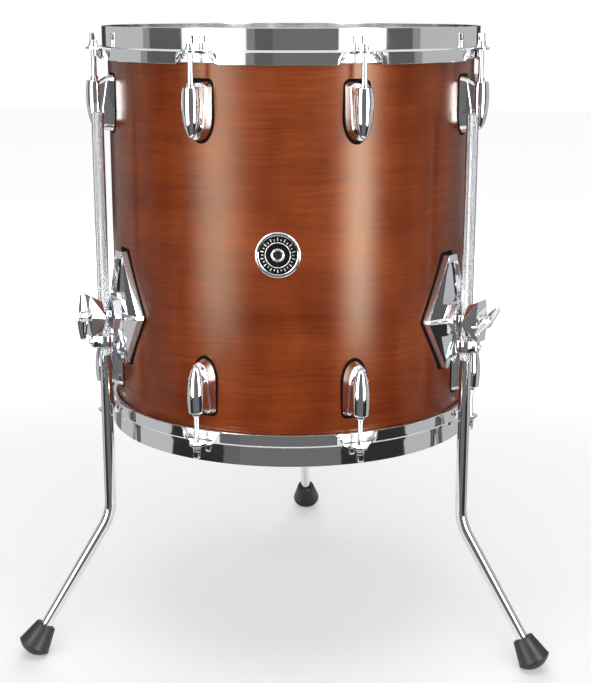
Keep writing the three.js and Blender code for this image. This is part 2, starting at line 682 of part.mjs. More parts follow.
// Two legs stand at the front and one at the back. The wing nuts stay as they were last turned.
const stands = [
  { side: "left", angle: -FRONT_LEG_ANGLE, wingTurn: 0 },
  { side: "right", angle: FRONT_LEG_ANGLE, wingTurn: -68 },
  { side: "rear", angle: 180, wingTurn: 25 },
];
for (const { side, angle, wingTurn } of stands) {
  const arm = spoke(THREE.MathUtils.degToRad(angle));
  arm.add(piece(`leg_${side}`, legBody(), chrome));
  arm.add(piece(`foot_${side}`, footBody(), footRubber));
  const clamp = new THREE.Group();
  clamp.position.z = ridgeHeight;
  clamp.add(piece(`bracket_${side}`, bracketBody(), chrome));
  clamp.add(piece(`clamp_jaw_${side}`, jawBody(), chrome));
  clamp.add(piece(`eye_bolt_${side}`, eyeBody(), chrome));
  clamp.add(piece(`lock_collar_${side}`, lockBody(), chrome));
  const wing = piece(`wing_nut_${side}`, wingBody(), chrome);
  wing.rotation.x = THREE.MathUtils.degToRad(wingTurn);
  clamp.add(wing);
  arm.add(clamp);
  drum.add(arm);
}

// Centre the object's box over the origin.
const tom = new THREE.Group();
tom.add(drum);
drum.updateMatrixWorld(true);
const extent = new THREE.Box3().setFromObject(drum, true);
drum.position.x = -(extent.min.x + extent.max.x) / 2;
drum.position.y = -(extent.min.y + extent.max.y) / 2;

export default tom;
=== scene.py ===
import bmesh
import bpy
import numpy as np
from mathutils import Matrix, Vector


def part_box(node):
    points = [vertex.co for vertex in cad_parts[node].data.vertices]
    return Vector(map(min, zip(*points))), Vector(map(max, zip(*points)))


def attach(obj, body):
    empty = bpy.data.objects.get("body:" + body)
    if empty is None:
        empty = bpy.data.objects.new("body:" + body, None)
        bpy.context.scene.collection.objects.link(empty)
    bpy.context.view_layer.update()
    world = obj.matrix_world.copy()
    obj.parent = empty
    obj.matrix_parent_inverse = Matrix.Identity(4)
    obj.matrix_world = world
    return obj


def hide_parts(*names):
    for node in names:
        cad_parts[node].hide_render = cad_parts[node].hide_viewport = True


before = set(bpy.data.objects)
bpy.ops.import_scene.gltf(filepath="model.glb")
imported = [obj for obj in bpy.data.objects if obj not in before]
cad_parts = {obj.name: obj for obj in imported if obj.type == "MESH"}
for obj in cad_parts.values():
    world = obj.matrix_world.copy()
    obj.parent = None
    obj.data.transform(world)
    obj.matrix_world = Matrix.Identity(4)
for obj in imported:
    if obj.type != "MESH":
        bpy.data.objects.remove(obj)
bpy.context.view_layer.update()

# The shell: thin plies of wood bent to a tube and glued, stained red-brown under a satin lacquer outside
# and left pale inside. Both edges are cut at a slant for the heads, and a vent hole is drilled at the front.
MM = 0.001
WELD = 0.000002
SHELL_RADIUS = 203.2
SHELL_WALL = 6.6
EDGE_INSET = 1.6
EDGE_ROUND, EDGE_SOFTNESS = 1.4, 0.9
VENT_HOLE = 10.8
DRILL_START, DRILL_END = 150, 250
STAIN_START, STAIN_FULL = SHELL_RADIUS - 1.2, SHELL_RADIUS - 0.6
GRAIN_SWAY = 0.03
MIX_FIRST, MIX_SECOND, MIX_RESULT = 6, 7, 2
shell_low, shell_high = (np.array(corner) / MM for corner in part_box("shell"))
axis_x, axis_y = (shell_low + shell_high)[:2] / 2
shell_bottom, shell_top = shell_low[2], shell_high[2]
shell_middle = (shell_bottom + shell_top) / 2


def rounded(corners, radius, steps=4):
    """A closed outline with each corner P drawn as P + t((1 - s)^2 a + s^2 b) for s from 0 to 1, where a
    and b point back and on along the outline and t is the radius, at most 0.45 of the shorter side."""
    corner = np.asarray(corners, float)
    back = np.roll(corner, 1, axis=0) - corner
    onward = np.roll(corner, -1, axis=0) - corner
    back_length = np.linalg.norm(back, axis=1, keepdims=True)
    onward_length = np.linalg.norm(onward, axis=1, keepdims=True)
    reach = np.minimum(radius, 0.45 * np.minimum(back_length, onward_length))
    share = np.linspace(0, 1, steps + 1)[None, :, None]
    bend = (1 - share) ** 2 * (back / back_length)[:, None] + share ** 2 * (onward / onward_length)[:, None]
    return (corner[:, None] + reach[:, :, None] * bend).reshape(-1, corner.shape[1])


def rectangle(left, low, right, high):
    """The four corners of a rectangle, the way round from the first."""
    return [(left, low), (right, low), (right, high), (left, high)]


def surface(grid, wrap_rows=False, wrap_columns=False, capped=False):
    """The points of a grid and the faces between neighbours, joined round where a direction wraps, with a
    flat face over the first and the last row where it is capped."""
    rows, columns = grid.shape[:2]
    index = np.arange(rows * columns).reshape(rows, columns)
    caps = [index[0][::-1], index[-1]] if capped else []
    index = np.pad(index, ((0, int(wrap_rows)), (0, int(wrap_columns))), mode="wrap")
    faces = np.stack([index[:-1, :-1], index[1:, :-1], index[1:, 1:], index[:-1, 1:]], axis=-1)
    return grid.reshape(-1, 3), faces.reshape(-1, 4), caps


def turned(profile, steps, closed=True):
    """A profile of (radius, height) carried round the Z axis: x = r cos a, y = r sin a, z = h."""
    radius, height = np.asarray(profile, float).T
    angle = np.linspace(0, 2 * np.pi, steps, endpoint=False)[:, None]
    grid = np.stack([radius * np.cos(angle), radius * np.sin(angle), height + 0 * angle], axis=-1)
    return surface(grid, wrap_rows=True, wrap_columns=closed)


def shifted(parts, shift):
    """Surfaces moved by (x, y, z)."""
    return [(points + np.array(shift), faces, caps) for points, faces, caps in parts]


def round_drum(points, angle=0.0, height=0.0, turned_over=False):
    """Points drawn with x outward, y sideways and z up, turned to an angle from the front of the drum, and
    for the lower end turned over about the X axis."""
    turn = np.radians(angle)
    x, y, z = np.moveaxis(np.asarray(points), -1, 0)
    facing = np.stack([x * np.sin(turn) + y * np.cos(turn), y * np.sin(turn) - x * np.cos(turn), z], axis=-1)
    over = np.array([1, -1, -1]) if turned_over else np.ones(3)
    return facing * over + np.array([axis_x, axis_y, height])


def placed(parts, *place):
    """Surfaces set at a place round the drum."""
    return [(round_drum(points, *place), faces, caps) for points, faces, caps in parts]


def outward(parts):
    """Surfaces drawn round the Z axis, laid down so that +Z becomes +X, outward from the drum."""
    return [(points[:, [2, 0, 1]], faces, caps) for points, faces, caps in parts]


def mesh_of(name, parts, drawn=None):
    """One mesh in metres from surfaces in millimetres, with seams and poles welded and the faces outwards.
    drawn keeps each point's place in the piece's own frame, for a pattern that follows it."""
    starts = np.cumsum([0] + [len(part[0]) for part in parts])
    corners = []
    for (points, faces, caps), start in zip(parts, starts):
        corners += (faces + start).tolist() + [(cap + start).tolist() for cap in caps]
    mesh = bpy.data.meshes.new(name)
    mesh.from_pydata((np.concatenate([part[0] for part in parts]) * MM).tolist(), [], corners)
    if drawn is not None:
        own_place = mesh.attributes.new("own_place", "FLOAT_VECTOR", "POINT")
        own_place.data.foreach_set("vector", (drawn * MM).ravel())
    return welded(mesh)


def welded(mesh, flat=0.0):
    """Merges doubles, joins faces that lie within a small angle where asked, and turns faces outwards."""
    work = bmesh.new()
    work.from_mesh(mesh)
    bmesh.ops.remove_doubles(work, verts=work.verts, dist=WELD)
    if flat:
        bmesh.ops.dissolve_limit(work, angle_limit=np.radians(flat), verts=work.verts, edges=work.edges)
    bmesh.ops.recalc_face_normals(work, faces=work.faces)
    work.to_mesh(mesh)
    work.free()
    return mesh


def carved(mesh, *steps):
    """A mesh joined with or cut by other meshes, one after another."""
    blank = bpy.data.objects.new("blank", mesh)
    tools = [blank]
    bpy.context.collection.objects.link(blank)
    for operation, tool_mesh in steps:
        tool = bpy.data.objects.new("tool", tool_mesh)
        bpy.context.collection.objects.link(tool)
        cut = blank.modifiers.new("cut", "BOOLEAN")
        cut.operation, cut.object, cut.solver = operation, tool, "EXACT"
        tools.append(tool)
    graph = bpy.context.evaluated_depsgraph_get()
    result = bpy.data.meshes.new_from_object(blank.evaluated_get(graph))
    for tool in tools:
        bpy.data.objects.remove(tool)
    return result


def broken_edges(piece, width, sharp):
    """Rounds every edge over the sharp angle with a small bevel."""
    bevel = piece.modifiers.new("broken edges", "BEVEL")
    bevel.width = width * MM
    bevel.segments = 3
    bevel.limit_method = "ANGLE"
    bevel.angle_limit = np.radians(sharp)
    bevel.harden_normals = True


def fix_piece(name, shape, material, body, stands_for=(), edge=0.0, sharp=35):
    """Puts a mesh or a list of surfaces into the scene as a piece on its body, shaded smooth up to the sharp
    angle, or with its edges broken by a small bevel."""
    mesh = shape if isinstance(shape, bpy.types.Mesh) else mesh_of(name, shape)
    piece = bpy.data.objects.new(name, mesh)
    bpy.context.collection.objects.link(piece)
    mesh.name = name
    mesh.materials.clear()
    mesh.materials.append(material)
    mesh.shade_smooth()
    if edge:
        broken_edges(piece, edge, sharp)
    else:
        mesh.set_sharp_from_angle(angle=np.radians(sharp))
    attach(piece, body)
    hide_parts(*stands_for)
    return piece


def new_material(name, **plain):
    """A material with plain values on its shader's own sockets."""
    material = bpy.data.materials.new(name)
    material.use_nodes = True
    shader = material.node_tree.nodes["Principled BSDF"]
    for socket, value in plain.items():
        shader.inputs[socket.replace("_", " ")].default_value = value
    return material, material.node_tree, shader


def add_node(tree, kind, inputs=(), **settings):
    """A node whose inputs are linked where they are given a socket and set where they are given a value."""
    node = tree.nodes.new(f"ShaderNode{kind}")
    for name, value in settings.items():
        setattr(node, name, value)
    for name, value in dict(inputs).items():
        if isinstance(value, bpy.types.NodeSocket):
            tree.links.new(value, node.inputs[name])
        else:
            node.inputs[name].default_value = value
    return node


def reckon(tree, operation, *values):
    """One step of arithmetic on one to three values."""
    return add_node(tree, "Math", dict(enumerate(values)), operation=operation).outputs[0]


def add_up(tree, *terms):
    """The sum of (share, value) terms."""
    total = 0.0
    for share, value in terms:
        total = reckon(tree, "MULTIPLY_ADD", value, share, total)
    return total


def remapped(tree, value, start, end, low=0.0, high=1.0, smooth=False):
    """A value that runs from low at the start to high at the end, in a line or as a smooth step."""
    spread = {"Value": value, "From Min": start, "From Max": end, "To Min": low, "To Max": high}
    course = "SMOOTHSTEP" if smooth else "LINEAR"
    return add_node(tree, "MapRange", spread, interpolation_type=course).outputs[0]


def ramp(tree, factor, *stops):
    """A colour ramp with its stops at (position, colour)."""
    node = add_node(tree, "ValToRGB", {"Fac": factor})
    while len(node.color_ramp.elements) < len(stops):
        node.color_ramp.elements.new(0.5)
    for element, (position, colour) in zip(node.color_ramp.elements, stops):
        element.position = position
        element.color = (*colour, 1)
    return node.outputs["Color"]


def mixed(tree, factor, first, second):
    """A colour that runs from the first to the second."""
    inputs = {"Factor": factor, MIX_FIRST: first, MIX_SECOND: second}
    return add_node(tree, "Mix", inputs, data_type="RGBA").outputs[MIX_RESULT]


def stretched_noise(tree, vector, scale, detail):
    """Noise on object coordinates squeezed by a scale per metre in each direction."""
    squeezed = add_node(tree, "Mapping", {"Vector": vector, "Scale": scale}).outputs[0]
    noise = add_node(tree, "TexNoise", {"Vector": squeezed, "Scale": 1.0, "Detail": detail})
    return noise.outputs[0]


def embossed(tree, shader, height, strength, distance):
    """Tilts a material's normals by a height pattern."""
    bump = add_node(tree, "Bump", {"Height": height, "Strength": strength, "Distance": distance})
    tree.links.new(bump.outputs[0], shader.inputs["Normal"])


def object_place(tree):
    """The shaded point in object coordinates."""
    return add_node(tree, "TexCoord").outputs["Object"]


def level_part(tree, vector):
    """A vector without its height."""
    return add_node(tree, "VectorMath", {0: vector, 1: (1, 1, 0)}, operation="MULTIPLY").outputs[0]


def drum_place(tree):
    """The shaded point as seen from the drum's axis, and its distance from that axis."""
    to_axis = (-axis_x * MM, -axis_y * MM, 0)
    centred = add_node(tree, "Mapping", {"Vector": object_place(tree), "Location": to_axis}).outputs[0]
    level = level_part(tree, centred)
    return centred, add_node(tree, "VectorMath", {0: level}, operation="LENGTH").outputs["Value"]


stained_wood, tree, shader = new_material("stained_plies", IOR=1.42, Specular_Tint=(1.0, 0.95, 0.70, 1))
centred, radius = drum_place(tree)
outside = remapped(tree, radius, STAIN_START * MM, STAIN_FULL * MM)
sway = stretched_noise(tree, centred, (5, 5, 7), 2.0)
swayed = add_node(tree, "CombineXYZ", {"Z": add_up(tree, (GRAIN_SWAY, sway))}).outputs[0]
figured = add_node(tree, "VectorMath", {0: centred, 1: swayed}, operation="ADD").outputs[0]
bands = stretched_noise(tree, figured, (3.5, 3.5, 32), 4.0)
streaks = stretched_noise(tree, figured, (14, 14, 420), 4.0)
curl = stretched_noise(tree, centred, (26, 26, 11), 2.0)
pores = stretched_noise(tree, centred, (50, 50, 1700), 2.0)
stain = ramp(
    tree, add_up(tree, (0.33, bands), (0.22, streaks), (0.33, curl), (0.12, pores)),
    (0.40, (0.140, 0.0168, 0.0012)), (0.50, (0.196, 0.0288, 0.0028)), (0.60, (0.262, 0.0455, 0.0060)))
pale = ramp(
    tree, add_up(tree, (0.6, bands), (0.4, streaks)),
    (0.35, (0.50, 0.33, 0.18)), (0.65, (0.66, 0.48, 0.29)))
tree.links.new(mixed(tree, outside, pale, stain), shader.inputs["Base Color"])
tree.links.new(remapped(tree, streaks, 0.0, 1.0, 0.20, 0.28), shader.inputs["Roughness"])
embossed(tree, shader, add_up(tree, (0.5, pores), (0.5, streaks)), strength=0.14, distance=0.0001)

crest = SHELL_RADIUS - EDGE_INSET
slant = SHELL_WALL - EDGE_INSET
shell_inner = SHELL_RADIUS - SHELL_WALL
shell_profile = rounded([
    (shell_inner, shell_bottom + slant), (crest, shell_bottom), (SHELL_RADIUS, shell_bottom + EDGE_ROUND),
    (SHELL_RADIUS, shell_top - EDGE_ROUND), (crest, shell_top), (shell_inner, shell_top - slant)],
    EDGE_SOFTNESS)
tube = mesh_of("tube", placed([turned(shell_profile, 288)]))
drill = turned(rectangle(0, DRILL_START, VENT_HOLE / 2, DRILL_END), 48, closed=False)
vent_drill = mesh_of("drill", placed(outward([drill]), 0.0, shell_middle))
shell_mesh = welded(carved(tube, ("DIFFERENCE", vent_drill)))
fix_piece("shell_plies", shell_mesh, stained_wood, "drum", ["shell"], sharp=28)

# The badge: a thin round plate of black enamel in a bright rolled rim, bent to the shell and held by the
# vent grommet, an eyelet pressed through its middle. Plain raised rings and bars fill the field.
BADGE_RADIUS, BADGE_BACK = 23.5, 0.25
FIELD_INNER, FIELD_HEIGHT = 5.4, 1.2
RIM_INNER, RIM_CREST = 19.6, 2.0
RING_INNER, RING_OUTER, RING_CREST = 12.2, 13.2, 1.55
RAY_COUNT, RAY_START, RAY_ENDS = 28, 14.6, (16.4, 17.9)
RAY_INNER_HALF, RAY_OUTER_HALF = 0.45, 0.6
MARK_FOOT, RAY_CREST = 1.0, 1.5
EYELET_BORE, EYELET_TUBE, EYELET_FLANGE = 4.5, 5.1, 7.0
EYELET_BACK, INNER_FLANGE, OUTER_FLANGE = 194.6, 196.0, 204.5


def bent_to_shell(parts):
    """Points (u, v, h) of a flat plate laid on the shell: x = (R + h) cos(u / R), y = (R + h) sin(u / R)."""
    bent = []
    for points, faces, caps in parts:
        across, up, proud = points.T
        turn, reach = across / SHELL_RADIUS, SHELL_RADIUS + proud
        bent.append((np.stack([reach * np.cos(turn), reach * np.sin(turn), up], axis=-1), faces, caps))
    return placed(bent, 0.0, shell_middle)


def stacked(levels):
    """Closed outlines joined one after another, with a flat face over each end."""
    return surface(np.asarray(levels, float), wrap_columns=True, capped=True)


def at_height(outline, height):
    """A flat outline with one height all round."""
    return np.column_stack([outline, np.full(len(outline), height)])


marks = bpy.data.node_groups.new("handling_marks", "ShaderNodeTree")
for name, kind in (("Scale", "INPUT"), ("Low", "INPUT"), ("High", "INPUT"), ("Value", "OUTPUT")):
    marks.interface.new_socket(name, in_out=kind, socket_type="NodeSocketFloat")
marks_in, marks_out = marks.nodes.new("NodeGroupInput"), marks.nodes.new("NodeGroupOutput")
cloud = add_node(marks, "TexNoise", {
    "Vector": object_place(marks), "Scale": marks_in.outputs["Scale"], "Detail": 5.0}).outputs[0]
wandering = remapped(marks, cloud, 0.3, 0.7, marks_in.outputs["Low"], marks_in.outputs["High"])
marks.links.new(wandering, marks_out.inputs["Value"])


def handled(tree, shader, low, high, scale=40.0):
    """Roughness that wanders between two values, as on a surface that has been handled and wiped."""
    group = add_node(tree, "Group", node_tree=marks)
    for name, value in (("Scale", scale), ("Low", low), ("High", high)):
        group.inputs[name].default_value = value
    tree.links.new(group.outputs["Value"], shader.inputs["Roughness"])
    return group.outputs["Value"]


def metal(name, colour, low, high, scale=40.0):
    """A bare metal that has been handled."""
    material, tree, shader = new_material(name, Base_Color=colour, Metallic=1.0)
    handled(tree, shader, low, high, scale)
    return material


chrome = metal("polished_chrome", (0.82, 0.83, 0.85, 1), 0.035, 0.085)
satin_silver = metal("satin_silver", (0.92, 0.92, 0.91, 1), 0.34, 0.46, 90.0)
enamel, tree, shader = new_material("black_enamel", Base_Color=(0.006, 0.006, 0.007, 1))
handled(tree, shader, 0.10, 0.22, 120.0)

field_profile = rounded(rectangle(FIELD_INNER, BADGE_BACK, RIM_INNER, FIELD_HEIGHT), 0.15)
fix_piece("badge_field", bent_to_shell([turned(field_profile, 96)]), enamel, "drum",
          ["badge"])
rim_profile = rounded([
    (RIM_INNER - 0.1, BADGE_BACK), (BADGE_RADIUS, BADGE_BACK), (BADGE_RADIUS, RIM_CREST - 1.0),
    (BADGE_RADIUS - 1.2, RIM_CREST), (RIM_INNER + 0.9, RIM_CREST), (RIM_INNER - 0.1, 1.45)], 0.6, 6)
fix_piece("badge_rim", bent_to_shell([turned(rim_profile, 96)]), chrome, "drum")
inner_ring = rounded([
    (RING_INNER, MARK_FOOT), (RING_OUTER, MARK_FOOT), (RING_OUTER - 0.1, RING_CREST),
    (RING_INNER + 0.1, RING_CREST)], 0.25)
badge_bright = [turned(inner_ring, 96)]
for ray in range(RAY_COUNT):
    turn = 2 * np.pi * ray / RAY_COUNT
    along, across = np.array([np.cos(turn), np.sin(turn)]), np.array([-np.sin(turn), np.cos(turn)])
    ray_end = RAY_ENDS[ray % 2]
    bar = rounded([
        (RAY_START, -RAY_INNER_HALF), (ray_end, -RAY_OUTER_HALF), (ray_end, RAY_OUTER_HALF),
        (RAY_START, RAY_INNER_HALF)], 0.3)
    flat = bar[:, :1] * along + bar[:, 1:] * across
    badge_bright.append(stacked([at_height(flat, MARK_FOOT), at_height(flat, RAY_CREST)]))
fix_piece("badge_ring_and_rays", bent_to_shell(badge_bright), satin_silver, "drum")
eyelet_profile = rounded([
    (EYELET_BORE, EYELET_BACK), (EYELET_FLANGE, EYELET_BACK), (EYELET_FLANGE, INNER_FLANGE),
    (EYELET_TUBE, INNER_FLANGE), (EYELET_TUBE, OUTER_FLANGE), (EYELET_FLANGE, OUTER_FLANGE),
    (EYELET_FLANGE, 205.1), (6.2, 206.0), (5.2, 206.2), (EYELET_BORE, 205.6)], 0.35)
fix_piece("vent_eyelet", placed(outward([turned(eyelet_profile, 64)]), 0.0, shell_middle), chrome,
          "drum", ["vent_grommet"])

# The heads: a coated white film on top and a clear film below, each drawn over the shell's edge and gripped
# by an aluminium flesh hoop that hangs outside the shell.
FILM, FILM_HEIGHT = 0.45, 0.75
COAT_END, BARE_START = 192.5, 193.5
FLESH_INNER, FLESH_OUTER = 203.95, 209.5
FLESH_TOP, FLESH_BOTTOM = -4.5, -14.4

over_edge = np.array([(201.9, 0.55), (203.2, -0.35), (204.3, -1.6), (205.4, -3.2), (206.6, -4.6)])
film_top = np.vstack([[(radius, FILM_HEIGHT) for radius in (0, 60, 120, 170, 192, 200.4)], over_edge])
film_profile = np.vstack([film_top, (film_top - (0, FILM))[::-1]])
flesh_profile = rounded(rectangle(FLESH_INNER, FLESH_TOP, FLESH_OUTER, FLESH_BOTTOM), 1.4)

coated, tree, shader = new_material("coated_film", Roughness=0.62)
centred, radius = drum_place(tree)
speckle = stretched_noise(tree, centred, (900, 900, 900), 2.0)
coat = ramp(tree, speckle, (0.3, (0.79, 0.79, 0.76)), (0.7, (0.86, 0.86, 0.835)))
bare_edge = remapped(tree, radius, COAT_END * MM, BARE_START * MM)
tree.links.new(mixed(tree, bare_edge, coat, (0.66, 0.67, 0.67, 1)), shader.inputs["Base Color"])
embossed(tree, shader, speckle, strength=0.3, distance=0.00008)

clear, tree, shader = new_material("clear_film", Base_Color=(0.85, 0.87, 0.89, 1), IOR=1.6)
handled(tree, shader, 0.06, 0.16, 25.0)
glance = add_node(tree, "Fresnel", {"IOR": 1.6}).outputs[0]
tree.links.new(remapped(tree, glance, 0.0, 0.6, 0.16, 0.75), shader.inputs["Alpha"])

aluminium = metal("flesh_hoop_aluminium", (0.72, 0.73, 0.74, 1), 0.22, 0.38, 60.0)
heads = [
    ("batter_head", coated, "coated_film", shell_top, False),
    ("resonant_head", clear, "clear_film", shell_bottom, True),
]
for head, film_material, film_slot, height, over in heads:
    film_part = placed([turned(film_profile, 256, closed=False)], 0.0, height, over)
    fix_piece(f"{head}_film", film_part, film_material, "drum", [head])
    flesh_part = placed([turned(flesh_profile, 256)], 0.0, height, over)
    fix_piece(f"{head}_flesh_hoop", flesh_part, aluminium, "drum")

# The counter hoops: one strip of 2.4 mm steel each, rolled with a wall inside the rods, a shelf on the flesh
# hoop and a skirt down over it. At each rod the skirt is folded out flat into an ear. Chrome plated.
HOOP_STEEL, ROLLED_EDGE = 2.4, 0.8
EAR_COUNT = 8
WALL_RADIUS, SKIRT_RADIUS, ROD_CIRCLE = 207.7, 211.3, 222.0
RIM_HEIGHT, SHELF_HEIGHT, SKIRT_EDGE = 19.3, -3.0, -15.7
FOLD_RADIUS, FOLD_EASE, LEAST_FLAP = 1.5, 1.5, 1.5
EAR_TIP, EAR_ROOT, EAR_SIDE_REACH = 8.2, (210.0, 15.5), 1.3
BAY_END = 23.5
ends = [("top", shell_top, False), ("bottom", shell_bottom, True)]


def smooth_step(share):
    """3 s^2 - 2 s^3, level at both ends."""
    return share ** 2 * (3 - 2 * share)


def hoop_surface():
    """The middle of the steel over the angle from an ear and the way along the profile. The flap past the
    shelf turns down by a fold angle that grows from 0 at the ear to 90 degrees at the skirt, as a smooth
    step of the way there to the power of 1.5. Its length runs from the ear's outline to the skirt's depth
    by the same step."""
    lean = np.linspace(0, np.pi / 3, 13)
    tip = np.column_stack([ROD_CIRCLE + EAR_TIP * np.cos(lean), EAR_TIP * np.sin(lean)])
    tip_angle, tip_reach = np.arctan2(tip[:, 1], tip[:, 0]), np.hypot(tip[:, 0], tip[:, 1])
    bay_angle = np.linspace(tip_angle[-1], np.arcsin(BAY_END / SKIRT_RADIUS), 37)[1:]
    plain_angle = np.linspace(bay_angle[-1], np.pi / EAR_COUNT, 12)[1:]
    side_angle = np.concatenate([bay_angle, plain_angle])
    start, way = tip[-1], np.array(EAR_ROOT) - tip[-1]
    slope = np.tan(side_angle)
    along = (start[1] - start[0] * slope) / (way[0] * slope - way[1])
    side_line = np.hypot(*(start[:, None] + along * way[:, None]))
    side_reach = np.where((along > 0) & (along < EAR_SIDE_REACH), side_line, 0)
    angle = np.concatenate([tip_angle, side_angle])
    reach = np.concatenate([tip_reach, side_reach])
    share = np.clip((angle - tip_angle[-1]) / (bay_angle[-1] - tip_angle[-1]), 0, 1)
    step = smooth_step(share ** FOLD_EASE)
    fold_start = SKIRT_RADIUS - FOLD_RADIUS
    fold_length = FOLD_RADIUS * np.pi / 2
    ear_length = np.maximum(reach - fold_start - fold_length, LEAST_FLAP)
    skirt_length = SHELF_HEIGHT - SKIRT_EDGE - FOLD_RADIUS
    length = (1 - step) * ear_length + step * skirt_length
    fold = np.maximum(step * np.pi / 2, 0.0001)
    angle, fold, length = (np.concatenate([sign * part[:0:-1], part[:-1]]) for part, sign in (
        (angle, -1), (fold, 1), (length, 1)))

    bend = np.linspace(0, np.pi / 2, 6)
    wall = np.array([(WALL_RADIUS, height) for height in (RIM_HEIGHT, 14, 8, 3)])
    turn_out = np.column_stack([
        WALL_RADIUS + FOLD_RADIUS * (1 - np.cos(bend)), SHELF_HEIGHT + FOLD_RADIUS * (1 - np.sin(bend))])
    inner = np.vstack([wall, turn_out, [(fold_start, SHELF_HEIGHT)]])
    part_fold = np.linspace(0, 1, 11)[1:, None]
    swept = fold * part_fold
    fold_x = fold_start + fold_length * part_fold * np.sin(swept) / swept
    fold_z = SHELF_HEIGHT - fold_length * part_fold * (1 - np.cos(swept)) / swept
    part_flap = np.linspace(0, 1, 7)[1:, None]
    flap_x = fold_x[-1] + length * part_flap * np.cos(fold)
    flap_z = fold_z[-1] - length * part_flap * np.sin(fold)
    columns = len(angle)
    profile_x = np.vstack([np.repeat(inner[:, :1], columns, axis=1), fold_x, flap_x])
    profile_z = np.vstack([np.repeat(inner[:, 1:], columns, axis=1), fold_z, flap_z])
    turns = ((np.arange(EAR_COUNT)[:, None] + 0.5) * 2 * np.pi / EAR_COUNT + angle).ravel()
    profile_x, profile_z = np.tile(profile_x, EAR_COUNT), np.tile(profile_z, EAR_COUNT)
    grid = np.stack([profile_x * np.cos(turns), profile_x * np.sin(turns), profile_z], axis=-1)
    return surface(grid, wrap_columns=True)


hoop_part = hoop_surface()
for end, height, over in ends:
    hoop = fix_piece(f"{end}_hoop_steel", placed([hoop_part], 0.0, height, over), chrome, "drum",
                     [f"{end}_hoop"], sharp=60)
    sheet_steel = hoop.modifiers.new("steel", "SOLIDIFY")
    sheet_steel.thickness = HOOP_STEEL * MM
    sheet_steel.offset = 0
    sheet_steel.use_even_offset = True
    broken_edges(hoop, ROLLED_EDGE, 60)

# The tension rods: steel rods with a square head, a collar and a washer that bears on the hoop's ear, and a
# thread at the far end in the lug's nut. Chrome plated.
ROD_RADIUS, ROD_END = 2.8, -58.0
ROD_WASHER, ROD_COLLAR, WASHER_FOOT = 5.5, 4.9, -1.5
NEAR_AXIS = 0.01
HEAD_CORNER = 0.7
spokes = [(number, (number - 0.5) * 360 / EAR_COUNT) for number in range(1, EAR_COUNT + 1)]
rod_profile = rounded([
    (NEAR_AXIS, ROD_END), (ROD_RADIUS, ROD_END), (ROD_RADIUS, WASHER_FOOT), (ROD_WASHER, WASHER_FOOT),
    (ROD_WASHER, -0.4), (ROD_COLLAR, -0.25), (ROD_COLLAR, 1.1), (4.1, 1.5), (4.2, 4.4), (3.3, 5.2),
    (NEAR_AXIS, 5.2)], 0.3)
square = np.array(rectangle(-1, -1, 1, 1))
head_levels = [(2.95, 4.0), (3.0, 5.0), (3.0, 11.9), (2.75, 12.45), (2.3, 12.7)]
square_head = stacked([at_height(rounded(square * half, HEAD_CORNER), up) for half, up in head_levels])
rod_parts = shifted([turned(rod_profile, 40), square_head], (ROD_CIRCLE, 0, 0))
for end, height, over in ends:
    for number, spoke in spokes:
        fix_piece(f"{end}_rod_{number}_steel", placed(rod_parts, spoke, height, over), chrome,
                  f"{end}_rod_{number}_body", [f"{end}_rod_{number}"])

# The lugs: cast zinc, chrome plated. A pedestal slopes in from a thin black gasket on the shell to a bullet
# that holds the swivel nut, whose end shows as a small collar where the rod goes in.
LUG_TOP, LUG_BOTTOM = -31.5, -91.5
LUG_FOOT, CHINE_WIDTH, BEVEL_WIDTH, CROWN_WIDTH, NECK_WIDTH = 26.4, 20.6, 20.0, 18.6, 16.4
CHINE_LOW, CHINE_RISE, CHINE_RUN, NECK_HEIGHT = 7.0, 5.5, 32.0, 17.0
LUG_SHOULDER, LUG_CORNER = 0.4, 6
WALL_EASE = 1.25
LUG_LIP, LUG_MIDDLE = 2.3, -60
GASKET, GASKET_BACK, GASKET_EDGE = 0.9, 0.05, 0.25
GASKET_OPENING, GASKET_CREST = 0.7, 0.992
BULLET_RADIUS, BULLET_TOP_RADIUS = 9.5, 8.5
BULLET_TOP, NOSE_START, BULLET_END = -37.1, -53.1, -87.1


def lug_outline(width, inset):
    """Flat with round corners at the rod's end and half an ellipse at the other, as (sideways, up)."""
    half, top, bottom = width / 2, LUG_TOP - inset, LUG_BOTTOM + inset
    shoulder = bottom + (top - bottom) * LUG_SHOULDER
    corner = LUG_CORNER * width / LUG_FOOT
    sweep = np.linspace(0, np.pi, 33)
    oval = np.column_stack([half * np.cos(sweep), shoulder - (shoulder - bottom) * np.sin(sweep)])
    quarter = np.linspace(np.pi, np.pi / 2, 8)
    left = np.column_stack([
        -half + corner + corner * np.cos(quarter), top - corner + corner * np.sin(quarter)])
    return np.vstack([oval, left, (left * (-1, 1))[::-1]])


def on_shell(outline, proud):
    """An outline laid on the shell at a height over it: x = the root of (R + h)^2 - y^2."""
    reach = np.sqrt((SHELL_RADIUS + proud) ** 2 - outline[:, 0] ** 2)
    return np.column_stack([reach, outline])


def gasket_on_shell(outline, lip, middle):
    """A thin band under the rim of a casting, with its outer edge a lip outside the casting's outline."""
    centre = np.array([0, middle])
    away = outline - centre
    outer = centre + away * (1 + lip / np.linalg.norm(away, axis=1, keepdims=True))
    inner = centre + away * GASKET_OPENING
    rings = [
        on_shell(inner, GASKET_BACK), on_shell(outer, GASKET_BACK), on_shell(outer, GASKET - GASKET_EDGE),
        on_shell(centre + (outer - centre) * GASKET_CREST, GASKET), on_shell(inner, GASKET)]
    return surface(np.asarray(rings), wrap_rows=True, wrap_columns=True)


def chine_ring(width, inset, lift):
    """An outline at the height of the chine, which climbs as a smooth step away from the rod's end."""
    outline = lug_outline(width, inset)
    share = np.clip((LUG_TOP - outline[:, 1]) / CHINE_RUN, 0, 1)
    height = CHINE_LOW + CHINE_RISE * smooth_step(share) + lift
    return np.column_stack([SHELL_RADIUS + height, outline])


